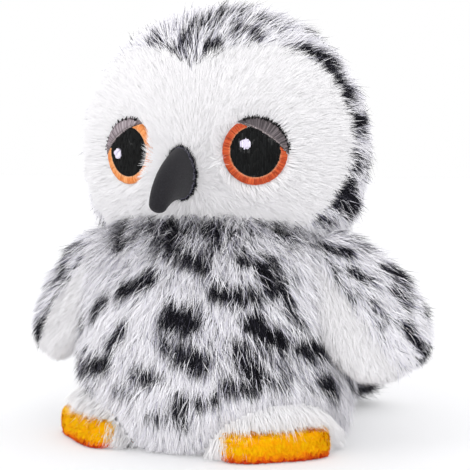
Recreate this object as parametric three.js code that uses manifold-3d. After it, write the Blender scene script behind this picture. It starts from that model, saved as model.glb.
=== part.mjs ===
// A small stuffed owl, sewn from short white plush, spotted long-pile plush and orange plush.
// It sits upright on a flat base panel, with a round head, two padded wings, two pads for feet
// and a wide short tail. Millimetres, +Z up. The owl looks along -Y and its left side is +X.
// The origin is on the flat base, below the middle of the body.
// Each plush panel is as thick as its backing and its pile, out to the middle of the pile.

import * as THREE from "three";
import { mergeVertices } from "three/addons/utils/BufferGeometryUtils.js";
import Module from "manifold-3d";

// Seams and cloths
const clearance = 0.3; // between pieces that are sewn together
const spottedPlush = 3.6; // long pile with its backing
const whitePlush = 2.6; // short pile with its backing
const orangePlush = 1.6;
const beakFelt = 1.2;
const baseCloth = 2;

// Head
const headWidth = 70.6;
const headDepth = 54.4;
const headHeight = 65.6;
const headCentreHeight = 69.2;
const headForward = 0.4; // of its middle before the origin
const headTurn = 5; // towards the owl's left, in degrees
const cheekSquareness = 2.4; // of the head below its middle, where 2 would be an ellipsoid

// Heart-shaped face, as its outline stands when seen from the front
const faceWidth = 66.6;
const facePeakHeight = 85.6; // the point between the two lobes
const faceLobeHeight = 93;
const faceLobeSpread = 30; // from one lobe's top to the other's
const faceWidestHeight = 69;
const faceChinHeight = 43;

// Embroidered eyes
const eyeAngle = 33.5; // of an eye from the middle of the face, in degrees
const eyeHeight = 67.4;
const eyeDepth = 1; // of the stitches below the middle of the pile
const stitchThickness = 0.8;
const irisWidth = 14.6;
const irisHeight = 14.8;
const pupilWidth = 11;
const pupilHeight = 11.2;
const highlightWidth = 2.4;
const leftHighlight = [-2.2, 1.7]; // across and up from the pupil's middle
const rightHighlight = [-3.2, -0.4];
const lidMargin = 0.3; // of the lid's outer edge round the iris
const lidDrop = 4.4; // from the middle of the eye up to the lid's lower edge
const lidEdgeRadius = 24;
const lidTilt = 58; // of the lid's thickest place from level, outwards, in degrees

// Beak
const beakWidth = 6.8;
const beakHeight = 12.4;
const beakReach = 12.5; // of its tip in front of the face
const beakRootHeight = 63;
const beakTipHeight = 56;
const beakTipWidth = 4;
const beakAside = 1; // of its middle from the face's, towards the owl's right

// Body
const bodyWidth = 68;
const bodyDepth = 61;
const bodyHeight = 60;
const bellyHeight = 19; // where the body is widest
const baseWidth = 65;
const baseDepth = 54;
const baseForward = 6; // of the base's middle before the origin
const neckForward = 3;
const bodySquareness = 2.7; // 2 would be an ellipsoid above the belly
const sideSeamForward = 4;
const baseEdge = 2.5; // how far the body's lower edge is rounded in

// Weighted bag and catnip pouch, on the base panel inside the stuffing
const pelletBagWidth = 34;
const pelletBagDepth = 28;
const pelletBagHeight = 11;
const catnipPouchWidth = 20;
const catnipPouchDepth = 16;
const catnipPouchHeight = 6;

// White leg panels
const legSpread = 44; // from the middle of one to the middle of the other
const legForward = 21;
const legWidth = 33;
const legDepth = 32;
const legHeight = 12.5;
const legBulge = 1.2; // out of the body

// Feet
const footSpread = 43; // from one foot's middle to the other's
const footInset = 10.5; // of a foot's middle behind the base's front edge
const footWidth = 26;
const footLength = 17;
const footThickness = 7.6;
const footSplay = 39; // in degrees
const footSquareness = 3.6;

// Wings
const wingLength = 40;
const wingWidth = 27;
const wingThickness = 13;
const wingSpread = 51.4; // from one shoulder's middle to the other's
const wingShoulderHeight = 50;
const wingForward = 7.5;
const wingSlope = 33; // from plumb, outwards, in degrees
const wingTurn = 35; // of its width from square across, backwards, in degrees
const wingPeak = 0.64; // where it is widest, as a share of its length
const wingSeamShift = 2; // of the seam plane from the middle, away from the body

// Tail
const tailLength = 27;
const tailRootWidth = 30;
const tailEndWidth = 53;
const tailThickness = 10;
const tailRootHeight = 11;
const tailEndHeight = 5.6;
const tailRootBack = 19; // of its root behind the origin

// Steps of the sewn forms
const headColumns = 28;
const headRows = 16;
const bodyColumns = 28;
const bodyRows = 11;
const limbColumns = 16;
const limbRows = 10;
const coreColumns = 16;
const coreRows = 8;
const smallColumns = 12;
const smallRows = 6;

const wasm = await Module();
wasm.setup();

const radians = THREE.MathUtils.degToRad;
const far = headWidth + bodyWidth; // further than any cut has to reach
const toOwlsLeft = 1;
const toOwlsRight = -1;

// A closed surface through rings of points, each an array of the same number of points taken
// anticlockwise as seen from the far end, with one point that closes each end.
function loft(start, rings, end) {
  const columns = rings[0].length;
  const points = [start, ...rings.flat(), end];
  const last = points.length - 1;
  const faces = [];
  const at = (ring, column) => 1 + ring * columns + (column % columns);
  for (let i = 0; i < columns; i++) {
    faces.push(0, at(0, i + 1), at(0, i));
    for (let j = 0; j + 1 < rings.length; j++) {
      faces.push(at(j, i), at(j, i + 1), at(j + 1, i + 1));
      faces.push(at(j, i), at(j + 1, i + 1), at(j + 1, i));
    }
    faces.push(at(rings.length - 1, i), at(rings.length - 1, i + 1), last);
  }
  const geometry = new THREE.BufferGeometry().setFromPoints(points);
  return geometry.setIndex(faces);
}

// The points of a superellipse: a power of 2 gives an ellipse, and more makes it squarer.
function superellipse(halfWidth, halfDepth, power, columns) {
  return Array.from({ length: columns }, (_, i) => {
    const turn = (2 * Math.PI * i) / columns;
    const c = Math.cos(turn);
    const s = Math.sin(turn);
    const across = Math.sign(c) * Math.abs(c) ** (2 / power);
    const along = Math.sign(s) * Math.abs(s) ** (2 / power);
    return [halfWidth * across, halfDepth * along];
  });
}

// three.js geometry as a solid, and back again.
function solid(geometry) {
  const bare = geometry.clone();
  bare.deleteAttribute("normal");
  bare.deleteAttribute("uv");
  const merged = mergeVertices(bare, 1e-4);
  const vertProperties = merged.attributes.position.array;
  const triVerts = new Uint32Array(merged.index.array);
  return new wasm.Manifold(new wasm.Mesh({ numProp: 3, vertProperties, triVerts }));
}

function geometryOf(shape) {
  const { numProp, numVert, vertProperties, triVerts } = shape.getMesh();
  const positions = new Float32Array(numVert * 3);
  for (let i = 0; i < numVert; i++)
    positions.set(vertProperties.subarray(i * numProp, i * numProp + 3), i * 3);
  const geometry = new THREE.BufferGeometry();
  geometry.setAttribute("position", new THREE.BufferAttribute(positions, 3));
  geometry.setIndex(new THREE.BufferAttribute(triVerts, 1));
  geometry.computeVertexNormals();
  return geometry;
}

// A box that fills one side of a plane through a point, on the side that the normal points to.
function halfSpace(point, normal) {
  const box = new THREE.BoxGeometry(2 * far, 2 * far, 2 * far).translate(0, 0, far);
  const turn = new THREE.Quaternion().setFromUnitVectors(
    new THREE.Vector3(0, 0, 1),
    normal.clone().normalize(),
  );
  return solid(box.applyQuaternion(turn).translate(point.x, point.y, point.z));
}

const vector = (x, y, z) => new THREE.Vector3(x, y, z);
const above = (height) => halfSpace(vector(0, 0, height), vector(0, 0, 1));
const below = (height) => halfSpace(vector(0, 0, height), vector(0, 0, -1));
const beside = (side, distance) =>
  halfSpace(vector(side * distance, 0, 0), vector(side, 0, 0));

// The largest body of a shape, without the crumbs and slivers that a cut may leave.
function main(shape) {
  const bodies = shape.simplify(0.02).decompose();
  return bodies.reduce((a, b) => (b.volume() > a.volume() ? b : a));
}

// Head: an ellipsoid with fuller cheeks, smaller by the inset all round
const headCentre = vector(0, -headForward, headCentreHeight);

function headRadii(inset) {
  return vector(headWidth, headDepth, headHeight).divideScalar(2).subScalar(inset);
}

const headPower = (rise) => (rise < 0 ? cheekSquareness : 2);

function headForm(inset, columns = headColumns, rows = headRows) {
  const { x, y, z } = headRadii(inset);
  const rings = [];
  for (let j = 1; j < rows; j++) {
    const rise = -Math.PI / 2 + (Math.PI * j) / rows;
    const power = 2 / headPower(rise);
    const shrink = Math.cos(rise) ** power;
    const height = Math.sign(rise) * Math.abs(Math.sin(rise)) ** power;
    const ring = superellipse(x * shrink, y * shrink, 2, columns);
    rings.push(ring.map(([a, b]) => vector(a, b, z * height)));
  }
  const geometry = loft(vector(0, 0, -z), rings, vector(0, 0, z));
  return solid(geometry.translate(headCentre.x, headCentre.y, headCentre.z));
}

// The outline of the face, seen from the front, with a margin all round.
function heart(margin) {
  const half = faceWidth / 2 + margin;
  const lobe = faceLobeSpread / 2;
  const top = faceLobeHeight + margin;
  const chin = faceChinHeight - margin;
  const peak = facePeakHeight + margin;
  const bow = half - lobe;
  const drop = faceWidestHeight - chin;
  const shape = new THREE.Shape();
  shape.moveTo(0, peak);
  shape.bezierCurveTo(lobe / 5, (peak + top) / 2, lobe / 2, top, lobe, top);
  shape.bezierCurveTo(lobe + bow * 0.6, top, half, (top + faceWidestHeight) / 2, half, faceWidestHeight);
  shape.bezierCurveTo(half, faceWidestHeight - drop * 0.6, half / 2, chin, 0, chin);
  shape.bezierCurveTo(-half / 2, chin, -half, faceWidestHeight - drop * 0.6, -half, faceWidestHeight);
  shape.bezierCurveTo(-half, (top + faceWidestHeight) / 2, -lobe - bow * 0.6, top, -lobe, top);
  shape.bezierCurveTo(-lobe / 2, top, -lobe / 5, (peak + top) / 2, 0, peak);
  return shape;
}

// A cone from the middle of the head through the outline of the face, so that the seam is cut
// square through the plush.
function faceCone(margin) {
  const steps = 6; // along each of the outline's six curves
  const radii = headRadii(0);
  const outline = heart(margin).getPoints(steps).slice(0, -1);
  const ring = outline.map(({ x, y }) => {
    const rise = y - headCentreHeight;
    const power = headPower(rise);
    const ringShare = (1 - Math.abs(rise / radii.z) ** power) ** (2 / power);
    const left = ringShare - (x / radii.x) ** 2;
    const depth = radii.y * Math.sqrt(Math.max(left, 0.01));
    const out = vector(x, -depth, rise).normalize().multiplyScalar(far / 2);
    return out.add(headCentre);
  });
  const front = headCentre.clone().add(vector(0, -far, 0));
  return solid(loft(headCentre, [ring.reverse()], front));
}

// The head is made looking straight ahead, and then sits turned on the body.
const turned = (shape) =>
  shape.translate([0, headForward, 0]).rotate([0, 0, headTurn]).translate([0, -headForward, 0]);

const headInner = headForm(spottedPlush);
const headShell = headForm(0).subtract(headInner);
const headGrown = headForm(-clearance);
const headSeat = (margin) => turned(headForm(-margin)); // to cut out of what it rests on
const headBack = headShell.subtract(faceCone(clearance));

// Eyes: each patch is a thin layer of stitches that follows the face
function eyePlace(side) {
  const radii = headRadii(eyeDepth);
  const rise = (eyeHeight - headCentreHeight) / radii.z;
  const ring = Math.sqrt(1 - rise ** 2);
  const turn = radians(eyeAngle);
  const reach = ring / Math.hypot(Math.sin(turn) / radii.x, Math.cos(turn) / radii.y);
  const spot = vector(side * reach * Math.sin(turn), -reach * Math.cos(turn), rise * radii.z);
  const normal = spot.clone().divide(radii).divide(radii).normalize();
  const across = vector(0, 0, 1).cross(normal).normalize();
  const up = normal.clone().cross(across);
  const place = new THREE.Matrix4().makeBasis(across, up, normal);
  return place.setPosition(spot.add(headCentre));
}

// A column that stands on the face at an eye, with an elliptical or other outline.
function eyeColumn(side, outline) {
  const depth = headDepth / 4;
  const column = new THREE.ExtrudeGeometry(outline, { depth, bevelEnabled: false, curveSegments: 14 });
  return solid(column.translate(0, 0, -depth / 2).applyMatrix4(eyePlace(side)));
}

function ellipse(x, y, width, height) {
  const shape = new THREE.Shape();
  return shape.absellipse(x, y, width / 2, height / 2, 0, 2 * Math.PI);
}

function octagon(x, y, width) {
  const corners = Array.from({ length: 8 }, (_, i) => {
    const turn = radians(22.5 + 45 * i);
    return new THREE.Vector2(x + (width / 2) * Math.cos(turn), y + (width / 2) * Math.sin(turn));
  });
  return new THREE.Shape(corners);
}

// The lid covers the eye outside a large circle, whose edge is the lid's lower edge.
function lidEdge(side, margin) {
  const shift = lidDrop - lidEdgeRadius;
  const x = side * shift * Math.cos(radians(lidTilt));
  const y = shift * Math.sin(radians(lidTilt));
  const width = 2 * (lidEdgeRadius + margin);
  return ellipse(x, y, width, width);
}

const stitches = headForm(eyeDepth).subtract(headForm(eyeDepth + stitchThickness));
const underStitches = headForm(eyeDepth + stitchThickness + clearance);

function eyePieces(side) {
  const gap = 2 * clearance;
  const [shiftX, shiftY] = side === toOwlsLeft ? leftHighlight : rightHighlight;
  const column = (outline) => eyeColumn(side, outline);
  const open = column(lidEdge(side, -clearance / 2));
  const iris = column(ellipse(0, 0, irisWidth, irisHeight)).intersect(open);
  const irisHole = column(ellipse(0, 0, pupilWidth + gap, pupilHeight + gap));
  const pupil = column(ellipse(0, 0, pupilWidth, pupilHeight)).intersect(open);
  const pupilHole = column(octagon(shiftX, shiftY, highlightWidth + gap));
  const whole = 2 * lidMargin;
  const lid = column(ellipse(0, 0, irisWidth + whole, irisHeight + whole));
  const pocket = column(ellipse(0, 0, irisWidth + whole + gap, irisHeight + whole + gap));
  return {
    pocket: pocket.subtract(underStitches),
    iris_ring: main(stitches.intersect(iris.subtract(irisHole))),
    pupil: main(stitches.intersect(pupil.subtract(pupilHole))),
    highlight: main(stitches.intersect(column(octagon(shiftX, shiftY, highlightWidth)))),
    eyelid: main(stitches.intersect(lid.subtract(column(lidEdge(side, clearance / 2))))),
  };
}

const leftEye = eyePieces(toOwlsLeft);
const rightEye = eyePieces(toOwlsRight);
const face = headForm(0)
  .subtract(headForm(whitePlush))
  .intersect(faceCone(0))
  .subtract(leftEye.pocket)
  .subtract(rightEye.pocket);

// Under the thinner face the stuffing stands out as far as the white plush lets it.
const headStuffing = headForm(spottedPlush + clearance, coreColumns, coreRows);
const headHollow = headForm(-6 * clearance, coreColumns, coreRows); // where the head sits in the stuffing

// Beak: it droops from its root on the face to a blunt tip
function beakForm(inset) {
  const faceFront = -headForward - headDepth / 2;
  const root = vector(-beakAside, faceFront + beakFelt * 3, beakRootHeight);
  const bend = vector(-beakAside, faceFront - beakReach * 0.62, beakRootHeight - beakHeight * 0.1);
  const tip = vector(-beakAside, faceFront - beakReach, beakTipHeight);
  const line = new THREE.QuadraticBezierCurve3(root, bend, tip);
  const rows = 8;
  const last = 1 - inset / line.getLength();
  const steps = Array.from({ length: rows }, (_, j) => j / rows).filter((t) => t < last - 0.5 / rows);
  const rings = [...steps, last].map((t) => {
    const narrow = (1 - t) ** 0.8;
    const halfWidth = beakTipWidth / 2 + (narrow * (beakWidth - beakTipWidth)) / 2 - inset;
    const halfHeight = beakTipWidth / 2 + (narrow * (beakHeight - beakTipWidth)) / 2 - inset;
    const up = vector(1, 0, 0).cross(line.getTangent(t)).negate();
    const ring = superellipse(Math.max(halfWidth, 0.2), Math.max(halfHeight, 0.2), 2, smallColumns);
    return ring.map(([a, b]) => line.getPoint(t).add(vector(a, 0, 0)).addScaledVector(up, b));
  });
  const blunt = (beakTipWidth / 2 - inset) * 0.7;
  const end = line.getPoint(last).addScaledVector(line.getTangent(last), Math.max(blunt, 0.1));
  return solid(loft(root, rings, end));
}

const beak = main(beakForm(0).subtract(beakForm(beakFelt)).subtract(headGrown));
const beakStuffing = main(beakForm(beakFelt + clearance).subtract(headGrown));

// Body: it swells from the base to the belly and tapers to the neck inside the head's hollow
function bodyHalves(height, inset) {
  const z = Math.max(height, 0);
  const belly = [bodyWidth / 2, bodyDepth / 2];
  const base = [baseWidth / 2, baseDepth / 2];
  if (z > bellyHeight) {
    const t = Math.min((z - bellyHeight) / (bodyHeight - bellyHeight), 1);
    const taper = (1 - t ** bodySquareness) ** (1 / bodySquareness);
    return belly.map((half) => half * taper - inset);
  }
  const s = ((bellyHeight - z) / bellyHeight) ** 2;
  const t = Math.max(1 - z / (2 * baseEdge), 0);
  const edge = baseEdge * (1 - Math.sqrt(1 - t ** 2));
  return belly.map((half, i) => half + (base[i] - half) * s - edge - inset);
}

const bodyMiddle = (height) =>
  -baseForward + (baseForward - neckForward) * THREE.MathUtils.clamp(height / bodyHeight, 0, 1);

function bodyForm(inset, bottom = 0, columns = bodyColumns, rows = bodyRows) {
  const top = bodyHeight - inset - 1;
  const rings = [];
  for (let j = 0; j <= rows; j++) {
    const share = j / rows;
    const height = bottom + (top - bottom) * share ** 1.15; // closer together near the base
    const [halfWidth, halfDepth] = bodyHalves(height + inset * share, inset);
    const ring = superellipse(Math.max(halfWidth, 1), Math.max(halfDepth, 1), 2.15, columns);
    rings.push(ring.map(([a, b]) => vector(a, b + bodyMiddle(height), height)));
  }
  const start = vector(0, bodyMiddle(bottom), bottom);
  return solid(loft(start, rings, vector(0, bodyMiddle(top), top + 0.5)));
}

const bodyShell = bodyForm(0).subtract(bodyForm(spottedPlush, -1)).subtract(headSeat(clearance));

// Legs: white panels let into the lower front corners of the body, a little prouder than it
function legLobe(side, margin) {
  const rings = [];
  for (let j = 0; j < smallRows; j++) {
    const rise = (Math.PI / 2) * (j / smallRows);
    const shrink = Math.cos(rise);
    const ring = superellipse(
      (legWidth / 2 + margin) * shrink,
      (legDepth / 2 + margin) * shrink,
      2,
      limbColumns,
    );
    rings.push(ring.map(([a, b]) => vector(a, b, (legHeight + margin) * Math.sin(rise))));
  }
  const foot = rings[0].map((p) => vector(p.x, p.y, -1));
  const shape = loft(vector(0, 0, -1), [foot, ...rings], vector(0, 0, legHeight + margin));
  return solid(shape.translate((side * legSpread) / 2, -legForward, 0));
}

const legSkin = bodyForm(-legBulge).subtract(bodyForm(spottedPlush, -1)).intersect(above(0));
const legPanel = (side) => main(legSkin.intersect(legLobe(side, 0)));
const spottedBody = bodyShell
  .subtract(legLobe(toOwlsLeft, clearance))
  .subtract(legLobe(toOwlsRight, clearance));
const bodySeat = (margin) => {
  const prouder = bodyForm(-legBulge - margin, -1);
  const legs = legLobe(toOwlsLeft, margin).add(legLobe(toOwlsRight, margin));
  return bodyForm(-margin, -1).add(prouder.intersect(legs));
};

// The side seams run down under the wings.
const sideSeam = -sideSeamForward;
const bodyFront = main(
  spottedBody.intersect(halfSpace(vector(0, sideSeam - clearance / 2, 0), vector(0, -1, 0))),
);
const bodyRear = spottedBody.intersect(
  halfSpace(vector(0, sideSeam + clearance / 2, 0), vector(0, 1, 0)),
);

const baseLining = spottedPlush + clearance;
const basePanel = bodyForm(baseLining).intersect(below(baseCloth));

// Pouches: pillows that lie one on the other on the base panel
function pillow(width, depth, height, bottom, margin) {
  const rings = [];
  for (let j = 1; j < smallRows; j++) {
    const rise = -Math.PI / 2 + (Math.PI * j) / smallRows;
    const shrink = Math.cos(rise) ** 0.5;
    const z = (height / 2 + margin) * Math.sin(rise);
    const ring = superellipse((width / 2 + margin) * shrink, (depth / 2 + margin) * shrink, 2.6, coreColumns);
    rings.push(ring.map(([a, b]) => vector(a, b, z)));
  }
  const half = height / 2 + margin;
  const shape = loft(vector(0, 0, -half), rings, vector(0, 0, half));
  return solid(shape.translate(0, -baseForward, bottom + height / 2));
}

const pelletBagBottom = baseCloth + clearance;
const pouchBottom = pelletBagBottom + pelletBagHeight + clearance;
const pelletBag = (margin) =>
  pillow(pelletBagWidth, pelletBagDepth, pelletBagHeight, pelletBagBottom, margin);
const catnipPouch = (margin) =>
  pillow(catnipPouchWidth, catnipPouchDepth, catnipPouchHeight, pouchBottom, margin);

// The hollow for the two pouches is open to the base panel.
const pouchHollow = pelletBag(clearance)
  .add(catnipPouch(clearance))
  .add(pillow(pelletBagWidth / 2, pelletBagDepth / 2, pouchBottom + catnipPouchHeight / 2, 0, 0));
const bodyStuffing = main(
  bodyForm(baseLining + clearance, 0, coreColumns, coreRows)
    .intersect(above(baseCloth + clearance))
    .subtract(turned(headHollow))
    .subtract(pouchHollow),
);

// A stuffed lobe that lies along +X from the origin, wide across Y and thick across Z. It grows
// from its root to its widest place and rounds off at its end. The inset makes it smaller all round.
function lobe({ length, width, thickness, peak, square = 2.4, inset = 0, columns, rows }) {
  const bend = Math.log(0.5) / Math.log(peak);
  const rings = [];
  for (let j = 1; j < rows; j++) {
    const t = (1 - Math.cos((Math.PI * j) / rows)) / 2;
    const swell = (1 - Math.abs(2 * t ** bend - 1) ** square) ** (1 / square);
    const halfWidth = Math.max((width / 2 - inset) * swell, 0.2);
    const halfThickness = Math.max((thickness / 2 - inset) * swell ** 0.8, 0.2);
    const x = inset + (length - 2 * inset) * t;
    const ring = superellipse(halfWidth, halfThickness, 2.1, columns);
    rings.push(ring.map(([a, b]) => vector(x, a, b)));
  }
  return loft(vector(inset, 0, 0), rings, vector(length - inset, 0, 0));
}

// Wings: each is a spotted outer panel and a white lining round its wadding
function wingPlace(side) {
  const slope = radians(wingSlope);
  const turn = radians(wingTurn);
  const along = vector(side * Math.sin(slope), 0, -Math.cos(slope));
  const level = vector(side * Math.cos(turn), Math.sin(turn), 0);
  const across = level.addScaledVector(along, -level.dot(along)).normalize();
  const outwards = along.clone().cross(across);
  const place = new THREE.Matrix4().makeBasis(along, across, outwards);
  return place.setPosition((side * wingSpread) / 2, -wingForward, wingShoulderHeight);
}

function wingForm(side, inset) {
  const size = { length: wingLength, width: wingWidth, thickness: wingThickness, peak: wingPeak };
  const shape = lobe({ ...size, columns: limbColumns, rows: limbRows, inset });
  const margin = clearance + inset;
  return solid(shape.applyMatrix4(wingPlace(side)))
    .subtract(bodyForm(-margin, -1))
    .subtract(headSeat(margin));
}

function wingPieces(side) {
  const place = wingPlace(side);
  const normal = vector(side * Math.cos(radians(wingSlope)), 0, Math.sin(radians(wingSlope)));
  const middle = vector(0, 0, 0).applyMatrix4(place).addScaledVector(normal, wingSeamShift);
  const outer = halfSpace(middle.clone().addScaledVector(normal, clearance / 2), normal);
  const inner = halfSpace(
    middle.clone().addScaledVector(normal, -clearance / 2),
    normal.clone().negate(),
  );
  const whole = wingForm(side, 0);
  const lining = whole.subtract(wingForm(side, whitePlush)).intersect(inner);
  return {
    wing_outer: main(whole.subtract(wingForm(side, whitePlush)).intersect(outer)),
    wing_lining: main(lining),
    wing_wadding: main(wingForm(side, whitePlush + 2 * clearance)),
  };
}

// Feet: each is an orange upper over a flat sole, with wadding between, and points outwards
function footPlace(side) {
  const turn = new THREE.Matrix4().makeRotationZ(side * radians(footSplay) - Math.PI / 2);
  const forward = baseForward + baseDepth / 2 - footInset;
  return turn.setPosition((side * footSpread) / 2, -forward, 0);
}

function footForm(side, inset, open = false) {
  const rings = [];
  for (let j = 0; j <= smallRows; j++) {
    const share = j / smallRows;
    const swell = (1 - Math.abs(share * 1.7 - 0.7) ** footSquareness) ** 0.4;
    const shrink = Math.max(swell, 0.25);
    const halfLength = (footLength / 2 - inset) * shrink ** 0.5;
    const halfWidth = (footWidth / 2 - inset) * shrink ** 0.25;
    const ring = superellipse(halfLength, halfWidth, footSquareness, limbColumns);
    rings.push(ring.map(([a, b]) => vector(a, b, share * (footThickness - inset))));
  }
  const bottom = open ? -1 : 0;
  if (open) rings.unshift(rings[0].map((p) => vector(p.x, p.y, bottom)));
  const shape = loft(vector(0, 0, bottom), rings, vector(0, 0, footThickness - inset + 0.2));
  const back = inset * 0.4; // the foot's plain back is thinner than its plush
  return solid(shape.applyMatrix4(footPlace(side))).subtract(bodySeat(clearance + back));
}

function footPieces(side) {
  const hollow = footForm(side, orangePlush, true);
  const filling = footForm(side, orangePlush + 2 * clearance);
  return {
    foot_upper: main(footForm(side, 0).subtract(hollow)),
    foot_sole: main(filling.intersect(below(orangePlush))),
    foot_wadding: main(filling.intersect(above(orangePlush + clearance))),
  };
}

// Tail: an upper and an under panel round the wadding, wider at its end
function tailForm(inset) {
  const size = { length: tailLength, width: tailEndWidth, thickness: tailThickness, peak: 0.6 };
  const steps = { columns: limbColumns, rows: limbRows };
  const shape = lobe({ ...size, ...steps, square: 3.2, inset });
  const narrow = tailRootWidth / tailEndWidth;
  const points = shape.attributes.position;
  for (let i = 0; i < points.count; i++) {
    const share = THREE.MathUtils.clamp(points.getX(i) / (tailLength * 0.7), 0, 1);
    points.setY(i, points.getY(i) * (narrow + (1 - narrow) * share));
  }
  const drop = Math.asin((tailRootHeight - tailEndHeight) / tailLength);
  const place = new THREE.Matrix4().makeRotationX(-drop);
  place.multiply(new THREE.Matrix4().makeRotationZ(Math.PI / 2));
  place.setPosition(0, tailRootBack, tailRootHeight);
  return solid(shape.applyMatrix4(place)).subtract(bodyForm(-clearance - inset, -1)).intersect(above(0.5));
}

function tailPieces() {
  const drop = Math.asin((tailRootHeight - tailEndHeight) / tailLength);
  const normal = vector(0, Math.sin(drop), Math.cos(drop));
  const middle = vector(0, tailRootBack, tailRootHeight);
  const upper = halfSpace(middle.clone().addScaledVector(normal, clearance / 2), normal);
  const under = halfSpace(
    middle.clone().addScaledVector(normal, -clearance / 2),
    normal.clone().negate(),
  );
  const shell = tailForm(0).subtract(tailForm(whitePlush));
  return {
    tail_upper: main(shell.intersect(upper)),
    tail_under: main(shell.intersect(under)),
    tail_wadding: main(tailForm(whitePlush + 2 * clearance)),
  };
}

// Cloths and threads
const cloth = (color, roughness) =>
  new THREE.MeshStandardMaterial({ color, roughness, metalness: 0 });
const materials = {
  white: cloth("#f1eff0", 0.95),
  spotted: cloth("#a9a8b0", 0.95),
  orange: cloth("#f58a1e", 0.9),
  charcoal: cloth("#2c2b30", 0.95),
  irisThread: cloth("#d2501e", 0.6),
  pupilThread: cloth("#141617", 0.5),
  highlightThread: cloth("#e4ddf0", 0.6),
  lidThread: cloth("#574f52", 0.65),
  stuffing: cloth("#f6f6f4", 1),
  baseCloth: cloth("#e6e4e4", 0.9),
  bagCloth: cloth("#d9cdb4", 0.9),
  pouchCloth: cloth("#b9c49a", 0.9),
};

const owl = new THREE.Group();

function add(name, shape, material) {
  const mesh = new THREE.Mesh(geometryOf(shape), material);
  mesh.name = name;
  owl.add(mesh);
}

add("face_panel", turned(main(face)), materials.white);
for (const [side, name] of [[toOwlsLeft, "left"], [toOwlsRight, "right"]]) {
  const eye = side === toOwlsLeft ? leftEye : rightEye;
  const half = main(headBack.intersect(beside(side, clearance / 2)));
  add(`head_back_${name}`, turned(half), materials.spotted);
  add(`${name}_iris_ring`, turned(eye.iris_ring), materials.irisThread);
  add(`${name}_pupil`, turned(eye.pupil), materials.pupilThread);
  add(`${name}_highlight`, turned(eye.highlight), materials.highlightThread);
  add(`${name}_eyelid`, turned(eye.eyelid), materials.lidThread);
  const rear = main(bodyRear.intersect(beside(side, clearance / 2)));
  add(`body_back_${name}`, rear, materials.spotted);
  add(`${name}_leg_panel`, legPanel(side), materials.white);
  const wing = wingPieces(side);
  add(`${name}_wing_outer`, wing.wing_outer, materials.spotted);
  add(`${name}_wing_lining`, wing.wing_lining, materials.white);
  add(`${name}_wing_wadding`, wing.wing_wadding, materials.stuffing);
  const foot = footPieces(side);
  add(`${name}_foot_upper`, foot.foot_upper, materials.orange);
  add(`${name}_foot_sole`, foot.foot_sole, materials.orange);
  add(`${name}_foot_wadding`, foot.foot_wadding, materials.stuffing);
}
add("head_stuffing", turned(headStuffing), materials.stuffing);
add("beak", turned(beak), materials.charcoal);
add("beak_stuffing", turned(beakStuffing), materials.stuffing);
add("body_front", bodyFront, materials.spotted);
add("body_stuffing", bodyStuffing, materials.stuffing);
add("base_panel", basePanel, materials.baseCloth);
add("pellet_bag", pelletBag(0), materials.bagCloth);
add("catnip_pouch", catnipPouch(0), materials.pouchCloth);
const tail = tailPieces();
add("tail_upper", tail.tail_upper, materials.spotted);
add("tail_under", tail.tail_under, materials.white);
add("tail_wadding", tail.tail_wadding, materials.stuffing);

export default owl;
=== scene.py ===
# %% [markdown]
# # A small stuffed owl, dressed in its fur
#
# The real toy is sewn from three kinds of plush. Its head, body, wings and tail have a long white pile
# with black tips in patches, its face, legs and wing linings a short white one, and its feet a very
# short orange one. The eyes are embroidered and the beak is felt. The solids of the model already have
# the right forms, out to the middle of the pile, so this script grows the pile on them.

# %% Load the model and keep its box
import itertools
import math

import bpy
import numpy as np
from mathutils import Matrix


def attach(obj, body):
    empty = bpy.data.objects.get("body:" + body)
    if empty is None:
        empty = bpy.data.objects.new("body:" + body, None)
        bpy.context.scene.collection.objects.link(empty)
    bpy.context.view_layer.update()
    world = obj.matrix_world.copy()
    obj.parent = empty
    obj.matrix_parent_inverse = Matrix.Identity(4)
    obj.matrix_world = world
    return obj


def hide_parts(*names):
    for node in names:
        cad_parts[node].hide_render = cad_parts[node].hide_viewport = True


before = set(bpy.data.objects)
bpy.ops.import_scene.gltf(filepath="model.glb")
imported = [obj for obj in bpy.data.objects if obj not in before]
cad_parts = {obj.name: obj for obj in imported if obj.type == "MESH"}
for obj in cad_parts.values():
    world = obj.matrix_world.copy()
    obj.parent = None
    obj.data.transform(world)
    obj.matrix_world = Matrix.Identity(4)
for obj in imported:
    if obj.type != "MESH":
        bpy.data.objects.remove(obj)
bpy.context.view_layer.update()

# %% [markdown]
# ## Camera
#
# The picture was taken from a little above the toy's middle, with a long lens, from its front left.
# Five pairs of like points, such as the eyes and the wings' ends, gave the direction and the distance.
# The camera is aimed at a point beside the middle, so that the lens needs no shift.

# %% Camera
PICTURE_WIDTH = 470  # pixels
FOCAL_PIXELS = 1231.9
SENSOR_WIDTH = 36  # mm
CAMERA_TURN = math.radians(24.5)  # from straight ahead towards the owl's left
CAMERA_DISTANCE = 0.300
CAMERA_HEIGHT = 0.0667
CAMERA_AIM = (0.0021, 0.0010, 0.0472)


def in_scene(name, data):
    """An object with the given name and data, linked to the scene."""
    made = bpy.data.objects.new(name, data)
    bpy.context.scene.collection.objects.link(made)
    return made


def aimed(place, target):
    """Euler angles that turn a camera or a lamp at a place to a target. It looks straight down at first,
    so it is tilted up by a right angle and the target's rise, and turned about the upright line."""
    x, y, z = np.array(target) - np.array(place)
    return math.pi / 2 + math.atan2(z, math.hypot(x, y)), 0, math.atan2(-x, y)


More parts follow.
